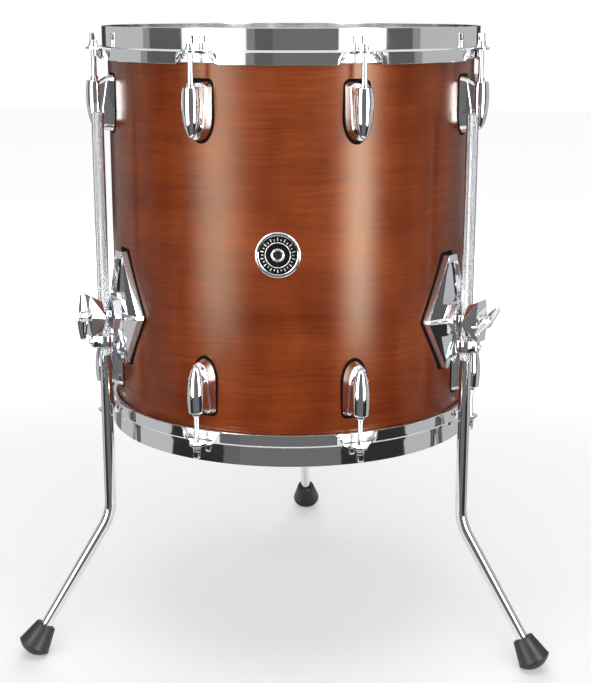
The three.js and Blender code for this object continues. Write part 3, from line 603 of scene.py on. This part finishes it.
foot_outline = lug_outline(LUG_FOOT, 0)
foot_ring, chine = on_shell(foot_outline, GASKET - 0.1), chine_ring(CHINE_WIDTH, 2.2, 0)
climb = np.linspace(0, 1, 7)[:, None, None]
draw_in = 1 - (1 - climb) ** WALL_EASE
wall = foot_ring + (chine - foot_ring) * np.concatenate([climb, draw_in, draw_in], axis=2)
neck_outline = lug_outline(NECK_WIDTH, 8.0)
neck = np.insert(neck_outline, 0, SHELL_RADIUS + NECK_HEIGHT, axis=1)
pedestal = stacked([*wall, chine_ring(BEVEL_WIDTH, 2.4, 0.35), chine_ring(CROWN_WIDTH, 3.0, 0.8), neck])
barrel, nose = np.linspace(0, np.pi / 2, 8), np.linspace(0, np.pi / 2, 24)[1:]
bullet_profile = np.vstack([
    [(0, BULLET_TOP), (BULLET_TOP_RADIUS - 1.0, BULLET_TOP), (BULLET_TOP_RADIUS - 0.3, BULLET_TOP - 0.3)],
    np.column_stack([BULLET_TOP_RADIUS + (BULLET_RADIUS - BULLET_TOP_RADIUS) * np.sin(barrel),
                     BULLET_TOP - 1 - (BULLET_TOP - 1 - NOSE_START) * barrel / barrel[-1]]),
    np.column_stack([BULLET_RADIUS * np.cos(nose), NOSE_START - (NOSE_START - BULLET_END) * np.sin(nose)])])
nut_profile = rounded([
    (NEAR_AXIS, -46), (4.2, -46), (4.2, -34.2), (3.7, -32.7), (3.1, -32.7), (3.0, -33.4),
    (NEAR_AXIS, -33.4)], 0.3)
bullet_and_nut = [turned(bullet_profile, 64, closed=False), turned(nut_profile, 40)]
lug_parts = [pedestal, *shifted(bullet_and_nut, (ROD_CIRCLE, 0, 0))]

gasket_rubber, tree, shader = new_material(
    "black_gasket", Base_Color=(0.004, 0.004, 0.004, 1), Specular_IOR_Level=0.04)
handled(tree, shader, 0.55, 0.75, 200.0)
for end, height, over in ends:
    gaskets = []
    for number, spoke in spokes:
        fix_piece(f"{end}_lug_{number}_casting", placed(lug_parts, spoke, height, over), chrome,
                  "drum", [f"{end}_lug_{number}"])
        gaskets += placed([gasket_on_shell(foot_outline, LUG_LIP, LUG_MIDDLE)], spoke, height, over)
    fix_piece(f"{end}_lug_gaskets", gaskets, gasket_rubber, "drum")

# The leg brackets and clamp jaws: cast zinc, chrome plated, on black gaskets. The bracket is a diamond plate
# with upright walls, four facets, a rib along its ridge and a sunk triangle above and below. Its six-sided
# roof is carried on by the jaw outside the leg.
RIDGE = 381.0
LEG_CIRCLE, LEG_RADIUS, LEG_BORE = 229.7, 6.35, 6.65
RISE, FALL, FOOT_HALF, TOP_HALF = 70.0, 58.0, 43.5, 10.5
CASTING_INSET, WALL_INSET = 2.2, 2.4
PLATE_BACK = SHELL_RADIUS + GASKET - 0.1
WALL_TOP_AT_RIDGE, WALL_TOP_AT_ENDS, FACET_TOP = SHELL_RADIUS + 4.4, SHELL_RADIUS + 8.1, SHELL_RADIUS + 14.3
RECESS_FLOOR, RECESS_START, RECESS_MARGIN = SHELL_RADIUS + 4.5, 18.0, 9.5
RECESS_FOOT, RECESS_TIP, MOUTH_FOOT, MOUTH_TIP, MOUTH_RISE = 19.5, 8.0, 31.5, 13.0, 7.7
CLAMP_HALF = 20.0
ROOF_FOOT, ROOF_HEIGHT, ROOF_FLAT = SHELL_RADIUS + 3, 16.0, 11
RIDGE_FLAT = 1.7
RIB_FOOT, RIB_CREST, RIB_PROUD, RIB_SUNK = 3.8, 0.5, 1.6, 0.8
CLAMP_FACE, JAW_FACE, JAW_END = 223.9, 235.5, 247.9
JAW_END_HALF, JAW_END_FLAT, JAW_END_HEIGHT = 12.5, 9, 22.5
EYE_OUTER, EYE_HALF, EYE_PLAY = 10.25, 5.0, 0.3
SHANK_BORE, SHANK_BORE_START, SHANK_BORE_END = 4.1, 230, 255
BRACKET_LIP, BRACKET_MIDDLE = 0.5, 4
FLAT_WITHIN, CASTING_EDGE, CASTING_SHARP = 0.3, 0.7, 20
stands = [("left", -58.5), ("right", 58.5), ("rear", 180.0)]


def block(*outlines):
    """The solid that wraps flat outlines, each a distance outward and its (sideways, up) corners."""
    points = np.concatenate([
        np.insert(np.asarray(outline, float), 0, reach, axis=1) for reach, outline in outlines])
    mesh = bpy.data.meshes.new("block")
    mesh.from_pydata((points * MM).tolist(), [], [])
    hull = bmesh.new()
    hull.from_mesh(mesh)
    bmesh.ops.convex_hull(hull, input=hull.verts)
    hull.to_mesh(mesh)
    hull.free()
    return welded(mesh, flat=FLAT_WITHIN)


def upright(radius, half_height, centre=LEG_CIRCLE, steps=64):
    """A cylinder on the Z axis, moved out to the line of the leg."""
    profile = rectangle(0, -half_height, radius, half_height)
    return mesh_of("upright", shifted([turned(profile, steps, closed=False)], (centre, 0, 0)))


def corners(half, low, high, end_half=None):
    """A rectangle across the middle, drawn in to an end of its own width where asked, as (sideways, up)."""
    end = half if end_half is None else end_half
    return [(-half, low), (half, low), (end, high), (-end, high)]


def six_sided(half, end_half, top, bottom):
    """A section with its side corners on the ridge and a flat at its top and bottom, as (sideways, up)."""
    return [(-half, -RIDGE_FLAT), (-half, RIDGE_FLAT), (-end_half, top), (end_half, top),
            (half, RIDGE_FLAT), (half, -RIDGE_FLAT), (end_half, -bottom), (-end_half, -bottom)]


def diamond(inset):
    """The outline of the bracket's foot, drawn in by an inset."""
    return six_sided(FOOT_HALF - inset, TOP_HALF - inset, RISE - inset, FALL - inset)


def roof_section(half, edge_half, height):
    """The section of the clamp's roof, alike above and below the ridge."""
    return six_sided(half, edge_half, height, height)


def sunk_triangle(side, reach):
    """The cutter for one sunk triangle, above the roof where side is 1 and below it where side is -1."""
    near, far = RECESS_START * side, (reach - RECESS_MARGIN) * side
    return block((RECESS_FLOOR, corners(RECESS_FOOT, near, far - side, RECESS_TIP)),
                 (FACET_TOP + MOUTH_RISE, corners(MOUTH_FOOT, near - side, far + side, MOUTH_TIP)))


sag = SHELL_RADIUS - np.sqrt(SHELL_RADIUS ** 2 - FOOT_HALF ** 2)
plate = block(
    (SHELL_RADIUS - sag, diamond(CASTING_INSET)),
    (WALL_TOP_AT_RIDGE, corners(FOOT_HALF - WALL_INSET, -RIDGE_FLAT, RIDGE_FLAT)),
    (WALL_TOP_AT_ENDS, corners(TOP_HALF - WALL_INSET, WALL_INSET - FALL, RISE - WALL_INSET)),
    (FACET_TOP, corners(CLAMP_HALF, -RIDGE_FLAT, RIDGE_FLAT)))
rib_end = FOOT_HALF - WALL_INSET - 1.1
rib = block(
    (SHELL_RADIUS - sag, corners(rib_end, -RIDGE_FLAT, RIDGE_FLAT)),
    (WALL_TOP_AT_RIDGE - RIB_SUNK, corners(rib_end, -RIB_FOOT, RIB_FOOT)),
    (FACET_TOP - RIB_SUNK, corners(CLAMP_HALF, -RIB_FOOT, RIB_FOOT)),
    (WALL_TOP_AT_RIDGE + RIB_PROUD, corners(rib_end + 0.6, -RIB_CREST, RIB_CREST)),
    (FACET_TOP + RIB_PROUD, corners(CLAMP_HALF, -RIB_CREST, RIB_CREST)))
roof = block((ROOF_FOOT, roof_section(CLAMP_HALF + 1, ROOF_FLAT + 1, ROOF_HEIGHT)),
             (CLAMP_FACE, roof_section(CLAMP_HALF, ROOF_FLAT, ROOF_HEIGHT)))
jaw = block((JAW_FACE, roof_section(CLAMP_HALF + 1.5, ROOF_FLAT, ROOF_HEIGHT)),
            (JAW_END, roof_section(JAW_END_HALF, JAW_END_FLAT, JAW_END_HEIGHT)))
bracket_mesh = welded(carved(
    plate, ("DIFFERENCE", sunk_triangle(1, RISE)), ("DIFFERENCE", sunk_triangle(-1, FALL)),
    ("UNION", roof), ("UNION", rib), ("DIFFERENCE", upright(LEG_BORE, 80)),
    ("DIFFERENCE", upright(EYE_OUTER + EYE_PLAY, EYE_HALF + EYE_PLAY)),
    ("DIFFERENCE", upright(PLATE_BACK, 95, 0, 360))), flat=FLAT_WITHIN)
shank_bore = rectangle(0, SHANK_BORE_START, SHANK_BORE, SHANK_BORE_END)
shank_hole = mesh_of("shank_hole", outward([turned(shank_bore, 40, closed=False)]))
jaw_mesh = welded(carved(
    jaw, ("DIFFERENCE", upright(LEG_BORE, 82)),
    ("DIFFERENCE", upright(EYE_OUTER + EYE_PLAY, EYE_HALF + EYE_PLAY)),
    ("DIFFERENCE", shank_hole)), flat=FLAT_WITHIN)


def round_drum_mesh(mesh, angle, height):
    """A copy of a mesh drawn outward along X, set at its place round the drum."""
    copy = mesh.copy()
    points = np.empty(len(copy.vertices) * 3)
    copy.vertices.foreach_get("co", points)
    moved = round_drum(points.reshape(-1, 3) / MM, angle, height) * MM
    copy.vertices.foreach_set("co", moved.ravel())
    copy.update()
    return copy


bracket_gasket = gasket_on_shell(rounded(diamond(0), 1.5, 3), BRACKET_LIP, BRACKET_MIDDLE)
for side, angle in stands:
    for casting, mesh in (("bracket", bracket_mesh), ("clamp_jaw", jaw_mesh)):
        fix_piece(f"{casting}_{side}_casting", round_drum_mesh(mesh, angle, RIDGE), chrome, "drum",
                  [f"{casting}_{side}"], edge=CASTING_EDGE, sharp=CASTING_SHARP)
    fix_piece(f"bracket_{side}_gasket", placed([bracket_gasket], angle, RIDGE), gasket_rubber,
              "drum")

# The clamp's steel parts: an eye bolt round the leg with its threaded shank out through the jaw, a wing nut
# cast as a lens with a hub, and a lock collar with a square-headed key screw. Chrome plated.
SHANK_RADIUS, SHANK_START, SHANK_END = 3.8, 238.4, 259.5
THREAD_DEPTH, THREAD_PITCH = 0.5, 1.25
HUB_START, HUB_END, HUB_RADIUS, HUB_LIP, HUB_BORE = 248.2, 258.2, 6.5, 5.6, 3.9
WING_MIDDLE, WING_TIP, WING_ROUND = 254.45, 27.0, 3
WING_WIDTH, WING_NARROWING, WING_THICKNESS, WING_THINNING = 12.5, 6.9, 5.5, 1.5
WING_TURNS = {"left": 0.0, "right": -68.0, "rear": 25.0}
COLLAR_TOP, COLLAR_HEIGHT, COLLAR_OUTER = -22.8, 13.0, 10.05


def threaded(radius, depth, pitch, start, end):
    """A screw thread: r = R - d(1 - cos(2 pi z / p - a)) / 2, along z and round a, closed at both ends."""
    z = np.arange(start, end, pitch / 8)[:, None]
    a = np.linspace(0, 2 * np.pi, 48, endpoint=False)
    r = radius - depth * (1 - np.cos(2 * np.pi * z / pitch - a)) / 2
    grid = np.stack([r * np.cos(a), r * np.sin(a), z + 0 * a], axis=-1)
    return surface(grid, wrap_columns=True, capped=True)


def wing():
    """A lens over the height v = T sin(u): x and y are an oval whose width falls from 12.5 mm at the hub
    towards 5.6 mm, and which closes as a round end over the last 3 mm."""
    v = WING_TIP * np.sin(np.linspace(-np.pi / 2, np.pi / 2, 61))[:, None]
    share = np.abs(v) / WING_TIP
    past = np.clip((np.abs(v) - WING_TIP + WING_ROUND) / WING_ROUND, 0, 1)
    close = np.sqrt(np.clip(1 - past ** 2, 0, 1))
    wide = (WING_WIDTH - WING_NARROWING * share ** 1.8) / 2 * close
    thick = (WING_THICKNESS - WING_THINNING * share ** 2) / 2 * close
    a = np.linspace(0, 2 * np.pi, 40, endpoint=False)
    across = np.sign(np.cos(a)) * np.abs(np.cos(a)) ** 0.8
    grid = np.stack([WING_MIDDLE + wide * across, thick * np.sin(a), v + 0 * a], axis=-1)
    return surface(grid, wrap_columns=True)


def ring_round_leg(outer, low, high):
    """A ring of steel with the leg's bore, on the line of the leg."""
    profile = rounded(rectangle(LEG_BORE, low, outer, high), 0.8)
    return shifted([turned(profile, 64)], (LEG_CIRCLE, 0, 0))


def bar_outward(half_side, half_height, *levels):
    """A rounded rectangular bar along X at mid collar, given as (distance outward, inset) levels."""
    middle = COLLAR_TOP - COLLAR_HEIGHT / 2
    rings = []
    for reach, inset in levels:
        y, z = half_side - inset, half_height - inset
        ring = rounded(rectangle(-y, -z, y, z), 0.9) + (0, middle)
        rings.append(np.insert(ring, 0, reach, axis=1))
    return stacked(rings)


shank = threaded(SHANK_RADIUS, THREAD_DEPTH, THREAD_PITCH, SHANK_START, SHANK_END)
eye_parts = [*ring_round_leg(EYE_OUTER, -EYE_HALF, EYE_HALF), *outward([shank])]
hub_profile = rounded([
    (HUB_BORE, HUB_START), (HUB_RADIUS, HUB_START), (HUB_RADIUS, HUB_END - 1), (HUB_LIP, HUB_END),
    (HUB_BORE, HUB_END)], 0.6)
wing_parts = [wing(), *outward([turned(hub_profile, 56)])]
collar_parts = [
    *ring_round_leg(COLLAR_OUTER, COLLAR_TOP - COLLAR_HEIGHT, COLLAR_TOP),
    bar_outward(4.2, 6.5, (238.0, 0.0), (243.9, 0.0), (244.35, 0.5)),
    bar_outward(2.5, 2.5, (244.0, 0.0), (247.0, 0.0), (247.55, 0.6))]
for side, angle in stands:
    turn = np.radians(WING_TURNS[side])
    spin = np.array([(1, 0, 0), (0, np.cos(turn), -np.sin(turn)), (0, np.sin(turn), np.cos(turn))])
    spun = [(points @ spin.T, faces, caps) for points, faces, caps in wing_parts]
    for name, make, parts, body in (
            ("eye_bolt", "steel", eye_parts, "drum"), ("wing_nut", "casting", spun, f"wing_nut_{side}_body"),
            ("lock_collar", "steel", collar_parts, f"leg_{side}_body")):
        fix_piece(f"{name}_{side}_{make}", placed(parts, angle, RIDGE), chrome, body,
                  [f"{name}_{side}"])

# The legs: half-inch steel rods bent outward near the floor, chrome plated, with fine crossed knurling over
# the length that the clamp grips. Each ends in a moulded rubber foot with a flared skirt and a domed sole.
LEG_TOP, BEND_HEIGHT, BEND_RADIUS, LEG_IN_FOOT = 598.0, 150.0, 55.0, 11
FOOT_SPREAD, DOME_RADIUS, SOLE_CUT = 318.0, 22.5, 0.7
KNURL_LENGTH, KNURL_FADE, KNURL_ROUGHNESS = 262.0, 1, 0.10
KNURL_TEETH, KNURL_PITCH = 28, 1.5
foot_height = DOME_RADIUS - SOLE_CUT
shin = np.array([FOOT_SPREAD - LEG_CIRCLE, foot_height - BEND_HEIGHT])
shin_slope = np.arctan2(shin[0], -shin[1])
shin_way = np.array([np.sin(shin_slope), -np.cos(shin_slope)])


def leg_surface():
    """A round bar along a line that runs down, round a bend of 55 mm and out to the foot:
    P + r(cos a N + sin a Y), with N square to the line in its plane and r drawn in at both ends."""
    tangent = BEND_RADIUS * np.tan(shin_slope / 2)
    turn = np.linspace(0, shin_slope, 25)
    top_rounding = [(LEG_CIRCLE, LEG_TOP - drop) for drop in (0, 0, 0, 0.4, 1.2)]
    straight = np.linspace(LEG_TOP, BEND_HEIGHT + tangent, 40)[1:-1, None]
    upper = np.vstack([top_rounding, np.insert(straight, 0, LEG_CIRCLE, axis=1)])
    arc = np.column_stack([LEG_CIRCLE + BEND_RADIUS * (1 - np.cos(turn)),
                           BEND_HEIGHT + tangent - BEND_RADIUS * np.sin(turn)])
    leg_end = np.array([FOOT_SPREAD, foot_height]) + shin_way * LEG_IN_FOOT
    low = np.linspace(0, 1, 9)[1:, None] * (leg_end - arc[-1]) + arc[-1]
    line = np.vstack([upper, arc, low, low[-1:]])
    radius = np.full(len(line), LEG_RADIUS)
    radius[:4] = 0, LEG_RADIUS - 2.0, LEG_RADIUS - 1.2, LEG_RADIUS - 0.8
    radius[-1] = 0
    slope = np.concatenate([np.zeros(len(upper)), turn, np.full(len(low) + 1, shin_slope)])
    run = np.concatenate([[0], np.cumsum(np.linalg.norm(np.diff(line, axis=0), axis=1))])
    a = np.linspace(0, 2 * np.pi, 56, endpoint=False)
    out = radius[:, None] * np.cos(a)
    side = radius[:, None] * np.sin(a)
    grid = np.stack([line[:, :1] + out * np.cos(slope)[:, None], side,
                     line[:, 1:] + out * np.sin(slope)[:, None]], axis=-1)
    own = np.stack([out, side, run[:, None] + 0 * a], axis=-1)
    return surface(grid, wrap_columns=True), own.reshape(-1, 3)


leg_steel, tree, shader = new_material("knurled_leg_chrome", Metallic=1.0)
smooth_rough = handled(tree, shader, 0.04, 0.10)
own_place = add_node(tree, "Attribute", attribute_name="own_place").outputs["Vector"]
own = add_node(tree, "SeparateXYZ", {0: own_place}).outputs
around = reckon(tree, "ARCTAN2", own[1], own[0])
ridges = []
for pitch_way in (1, -1):
    phase = add_up(tree, (KNURL_TEETH / 2, around), (pitch_way * np.pi / (KNURL_PITCH * MM), own[2]))
    ridges.append(reckon(tree, "ABSOLUTE", reckon(tree, "SINE", phase)))
teeth = reckon(tree, "MINIMUM", *ridges)
knurled = remapped(tree, own[2], (KNURL_LENGTH - KNURL_FADE) * MM, KNURL_LENGTH * MM, 1.0, 0.0)
cut_teeth = reckon(tree, "MULTIPLY", teeth, knurled)
# Painted shade: over the knurled length the base colour runs from bright chrome on the teeth to dark grey
# down in the grooves, standing in for the shade that the teeth cast on each other.
groove_shade_mask = reckon(tree, "SUBTRACT", knurled, cut_teeth)
painted_groove_shade = ramp(tree, groove_shade_mask, (0.0, (0.80, 0.81, 0.83)), (0.9, (0.22, 0.22, 0.23)))
tree.links.new(painted_groove_shade, shader.inputs["Base Color"])
embossed(tree, shader, cut_teeth, strength=0.9, distance=0.00035)
grip_rough = reckon(tree, "MULTIPLY_ADD", knurled, KNURL_ROUGHNESS, smooth_rough)
tree.links.new(grip_rough, shader.inputs["Roughness"])

rubber, tree, shader = new_material("foot_rubber")
place = object_place(tree)
bloom = stretched_noise(tree, place, (60, 60, 60), 4.0)
bloomed = ramp(tree, bloom, (0.35, (0.006, 0.006, 0.006)), (0.7, (0.013, 0.013, 0.014)))
tree.links.new(bloomed, shader.inputs["Base Color"])
handled(tree, shader, 0.36, 0.52, 90.0)
embossed(tree, shader, stretched_noise(tree, place, (900, 900, 900), 2.0), strength=0.25, distance=0.00015)

dome = np.radians(np.linspace(53.0, 0, 16))
foot_profile = np.vstack([
    [(0, -11.2), (6.5, -11.2), (6.5, 13.0), (7.2, 13.6), (10.3, 13.6), (11.1, 13.2), (11.6, 12.2)],
    [(12.2, 9.5), (14.9, -1.0), (17.3, -11.0), (17.8, -12.4), (18.0, -13.0), (18.0, -13.5)],
    np.column_stack([DOME_RADIUS * np.sin(dome), -DOME_RADIUS * np.cos(dome)])])
foot_points, foot_faces, foot_caps = turned(foot_profile, 64, closed=False)
lean = np.array([
    (np.cos(shin_slope), 0, -np.sin(shin_slope)), (0, 1, 0), (np.sin(shin_slope), 0, np.cos(shin_slope))])
foot_points = foot_points @ lean.T + (FOOT_SPREAD, 0, foot_height)
foot_points[:, 2] = np.maximum(foot_points[:, 2], 0)
foot_parts = [(foot_points, foot_faces, foot_caps)]
leg_part, leg_own = leg_surface()
for side, angle in stands:
    fix_piece(f"leg_{side}_rod", mesh_of("leg", placed([leg_part], angle), leg_own), leg_steel,
              f"leg_{side}_body", [f"leg_{side}"])
    fix_piece(f"foot_{side}_rubber", placed(foot_parts, angle), rubber, f"leg_{side}_body",
              [f"foot_{side}"], sharp=50)

# The screws inside the shell: pan-headed steel screws on washers, two to a lug and four to a bracket, seen
# through the clear lower head.
SCREW_SEAT = shell_inner - 0.4
LUG_SCREWS, BRACKET_SCREWS = (-44.0, -79.0), (52.0, 22.0, -22.0, -46.0)
screw_profile = rounded([
    (NEAR_AXIS, SCREW_SEAT - 4.2), (2.6, SCREW_SEAT - 4.2), (4.3, SCREW_SEAT - 2.9), (4.5, SCREW_SEAT - 1.3),
    (6.9, SCREW_SEAT - 1.1), (6.9, SCREW_SEAT), (NEAR_AXIS, SCREW_SEAT)], 0.4, 2)
screw = outward([turned(screw_profile, 24)])
zinc = metal("zinc_plate", (0.62, 0.63, 0.64, 1), 0.2, 0.36, 150.0)
screws = []
for _, height, over in ends:
    for _, spoke in spokes:
        for up in LUG_SCREWS:
            screws += placed(shifted(screw, (0, 0, up)), spoke, height, over)
for _, angle in stands:
    for up in BRACKET_SCREWS:
        screws += placed(shifted(screw, (0, 0, up)), angle, RIDGE)
fix_piece("inner_screws", screws, zinc, "drum")

# The stage: a pale floor under a white world, and a studio that only reflections see: a wall and a floor in
# plain greys, and two tall white panels that stripe the chrome and the lacquer. The greys and the panels
# have their azimuths in degrees from the camera's direction.
AMBIENT = 0.18
CAMERA_TURN = 3.8
FLOOR_HALF = 8.0
FLOOR_NEAR, FLOOR_FAR = 0.6, 2.0
FLOOR_LIFT_NEAR, FLOOR_LIFT_FAR = 0.30, 0.8
STUDIO_RADIUS, STUDIO_HEIGHT, STUDIO_FLOOR_START, STUDIO_FLOOR_HEIGHT = 2.9, 2.4, 0.5, 0.002
PANEL_DISTANCE, PANEL_LOW, PANEL_HIGH, PANEL_SIDE = 1.35, 0.05, 1.75, 1.1
WALL_GREYS = [
    (-180, 0.58), (-163, 0.05), (-144, 0.55), (-93, 0.30), (-88, 0.12), (-26, 0.24), (-20, 0.12), (-10, 0.17),
    (23, 0.12), (71, 0.30), (76, 0.54), (144, 0.05), (163, 0.58)]
FLOOR_GREYS = [
    (-180, 0.45), (-137, 0.20), (-124, 0.56), (-105, 0.10), (-101, 0.56), (-68, 0.03), (-36, 0.14),
    (-27, 0.17), (25, 0.03), (62, 0.53), (91, 0.10), (95, 0.53), (119, 0.25), (140, 0.45)]


def seen_directly(tree):
    """1 for camera, glossy and transmission rays, 0 for the rest."""
    ray = add_node(tree, "LightPath").outputs
    either = reckon(tree, "MAXIMUM", ray["Is Camera Ray"], ray["Is Glossy Ray"])
    return reckon(tree, "MAXIMUM", either, ray["Is Transmission Ray"])


world = bpy.data.worlds.new("white_world")
bpy.context.scene.world = world
world.use_nodes = True
tree = world.node_tree
background = tree.nodes["Background"]
background.inputs["Color"].default_value = (1, 1, 1, 1)
tree.links.new(remapped(tree, seen_directly(tree), 0.0, 1.0, AMBIENT, 1.0), background.inputs["Strength"])

floor_material, tree, shader = new_material(
    "pale_floor", Base_Color=(0.88, 0.88, 0.88, 1), Roughness=0.9, Specular_IOR_Level=0.0,
    Emission_Color=(1, 1, 1, 1))
far_off = add_node(tree, "VectorMath", {0: object_place(tree)}, operation="LENGTH").outputs["Value"]
paler = remapped(tree, far_off, FLOOR_NEAR, FLOOR_FAR, FLOOR_LIFT_NEAR, FLOOR_LIFT_FAR, smooth=True)
lift = reckon(tree, "MULTIPLY", seen_directly(tree), paler)
tree.links.new(lift, shader.inputs["Emission Strength"])


def set_up(name, points, faces, material):
    """A surface of the stage, in metres."""
    mesh = bpy.data.meshes.new(name)
    mesh.from_pydata(points.tolist(), [], faces.tolist())
    mesh.materials.append(material)
    card = bpy.data.objects.new(name, mesh)
    bpy.context.collection.objects.link(card)
    return card


floor = set_up("floor", at_height(square, 0) * FLOOR_HALF, np.arange(4)[None], floor_material)


def glowing(name):
    """A material that sends out plain white light and reflects none."""
    return new_material(
        name, Base_Color=(0, 0, 0, 1), Roughness=1.0, Specular_IOR_Level=0.0,
        Emission_Color=(1, 1, 1, 1), Emission_Strength=1.0)


def reflected_greys(name, greys):
    """A glowing material whose grey steps from value to value with the azimuth from the camera."""
    material, tree, shader = glowing(name)
    turned_back = add_node(tree, "VectorRotate", {
        "Vector": object_place(tree), "Angle": np.radians(-CAMERA_TURN)}, rotation_type="Z_AXIS").outputs[0]
    at = add_node(tree, "SeparateXYZ", {0: turned_back}).outputs
    toward = reckon(tree, "MULTIPLY", at[1], -1.0)
    share = remapped(tree, reckon(tree, "ARCTAN2", at[0], toward), -np.pi, np.pi)
    steps = ramp(tree, share, *(((degrees + 180) / 360, (grey, grey, grey)) for degrees, grey in greys))
    steps.node.color_ramp.interpolation = "CONSTANT"
    tree.links.new(steps, shader.inputs["Emission Color"])
    return material


def reflected_card(name, grid, material, wrap=False):
    """A surface of the studio, in metres, that only reflections see."""
    points, faces, _ = surface(grid, wrap_columns=wrap)
    card = set_up(name, points + (axis_x * MM, axis_y * MM, 0), faces, material)
    for ray in ("camera", "diffuse", "transmission", "volume_scatter", "shadow"):
        setattr(card, f"visible_{ray}", False)


def band_grid(*circles):
    """Two circles round the drum, each (radius, height): a wall where the radii are alike and a floor where
    the heights are."""
    turn = np.linspace(0, 2 * np.pi, 72, endpoint=False)
    circle = np.column_stack([np.sin(turn), -np.cos(turn)])
    return np.array([at_height(radius * circle, height) for radius, height in circles])


def glowing_panel(name, azimuth, width, brightness):
    """An upright panel that faces the drum, brightest down its middle and only just white at its sides."""
    turn = np.radians(CAMERA_TURN + azimuth)
    middle = PANEL_DISTANCE * np.array([np.sin(turn), -np.cos(turn)])
    across = np.array([np.cos(turn), np.sin(turn)])
    glow, tree, shader = glowing(f"{name}_glow")
    middle_line = (middle[0] + axis_x * MM, middle[1] + axis_y * MM, 0)
    from_middle = add_node(tree, "VectorMath", {
        0: level_part(tree, object_place(tree)), 1: middle_line}, operation="DISTANCE").outputs["Value"]
    strength = remapped(tree, from_middle, 0.0, width / 2, brightness, PANEL_SIDE, smooth=True)
    tree.links.new(strength, shader.inputs["Emission Strength"])
    grid = np.array([[(*(middle + across * side * width / 2), height) for side in (-1, 1)]
                     for height in (PANEL_LOW, PANEL_HIGH)])
    reflected_card(name, grid, glow)


wall_grid = band_grid((STUDIO_RADIUS, 0.0), (STUDIO_RADIUS, STUDIO_HEIGHT))
ground_grid = band_grid((STUDIO_FLOOR_START, STUDIO_FLOOR_HEIGHT), (STUDIO_RADIUS, STUDIO_FLOOR_HEIGHT))
reflected_card("studio_wall", wall_grid, reflected_greys("studio_wall_greys", WALL_GREYS), wrap=True)
reflected_card("studio_floor", ground_grid, reflected_greys("studio_floor_greys", FLOOR_GREYS), wrap=True)
glowing_panel("left_panel", azimuth=-42.8, width=0.93, brightness=9.6)
glowing_panel("right_panel", azimuth=39.0, width=0.66, brightness=17.5)

# The lamps, which light the drum at a plain level, and the camera as found for the photograph: level with
# the top of the drum, a little to the right and tipped down. Their azimuths are in degrees from the front
# of the drum.
AIM_HEIGHT = 0.46
SIDE_LAMP_TURN, SIDE_LAMP_SIZE = 14, (0.8, 1.6)
CAMERA_DISTANCE, CAMERA_HEIGHT = 1.561, 0.707
CAMERA_PITCH, CAMERA_YAW = 13.8, 3.62
FOCAL_PIXELS, PHOTO_HEIGHT, SENSOR = 1370, 683, 36


def standing_at(azimuth, distance, height):
    """A place in metres, at a distance from the drum's axis."""
    turn = np.radians(azimuth)
    return distance * np.sin(turn), axis_y * MM - distance * np.cos(turn), height


def softbox(name, azimuth, distance, height, size, brightness):
    """A lamp that reflections don't see, turned to the drum: power = pi x area x brightness."""
    lamp = bpy.data.lights.new(name, "AREA")
    lamp.shape = "RECTANGLE"
    lamp.size, lamp.size_y = size
    lamp.energy = np.pi * size[0] * size[1] * brightness
    holder = bpy.data.objects.new(name, lamp)
    holder.location = standing_at(azimuth, distance, height)
    toward = Vector((0, axis_y * MM, AIM_HEIGHT)) - holder.location
    holder.rotation_euler = toward.to_track_quat("-Z", "Y").to_euler()
    holder.visible_camera = False
    holder.visible_glossy = False
    bpy.context.collection.objects.link(holder)


softbox("left_softbox", CAMERA_TURN - SIDE_LAMP_TURN, 2.2, 0.85, SIDE_LAMP_SIZE, brightness=3.6)
softbox("right_softbox", CAMERA_TURN + SIDE_LAMP_TURN, 2.2, 0.85, SIDE_LAMP_SIZE, brightness=3.8)
softbox("overhead", 0, 0.3, 2.4, (1.6, 1.6), brightness=2.2)
softbox("back_softbox", 180, 2.4, 1.4, (1.8, 1.4), brightness=3.5)

lens = bpy.data.cameras.new("camera")
lens.sensor_width = SENSOR
lens.lens = FOCAL_PIXELS / PHOTO_HEIGHT * SENSOR
camera = bpy.data.objects.new("camera", lens)
camera.location = standing_at(CAMERA_TURN, CAMERA_DISTANCE, CAMERA_HEIGHT)
camera.rotation_euler = (np.radians(90 - CAMERA_PITCH), 0, np.radians(CAMERA_YAW))
bpy.context.collection.objects.link(camera)
bpy.context.scene.camera = camera
bpy.context.scene.view_settings.view_transform = "Standard"
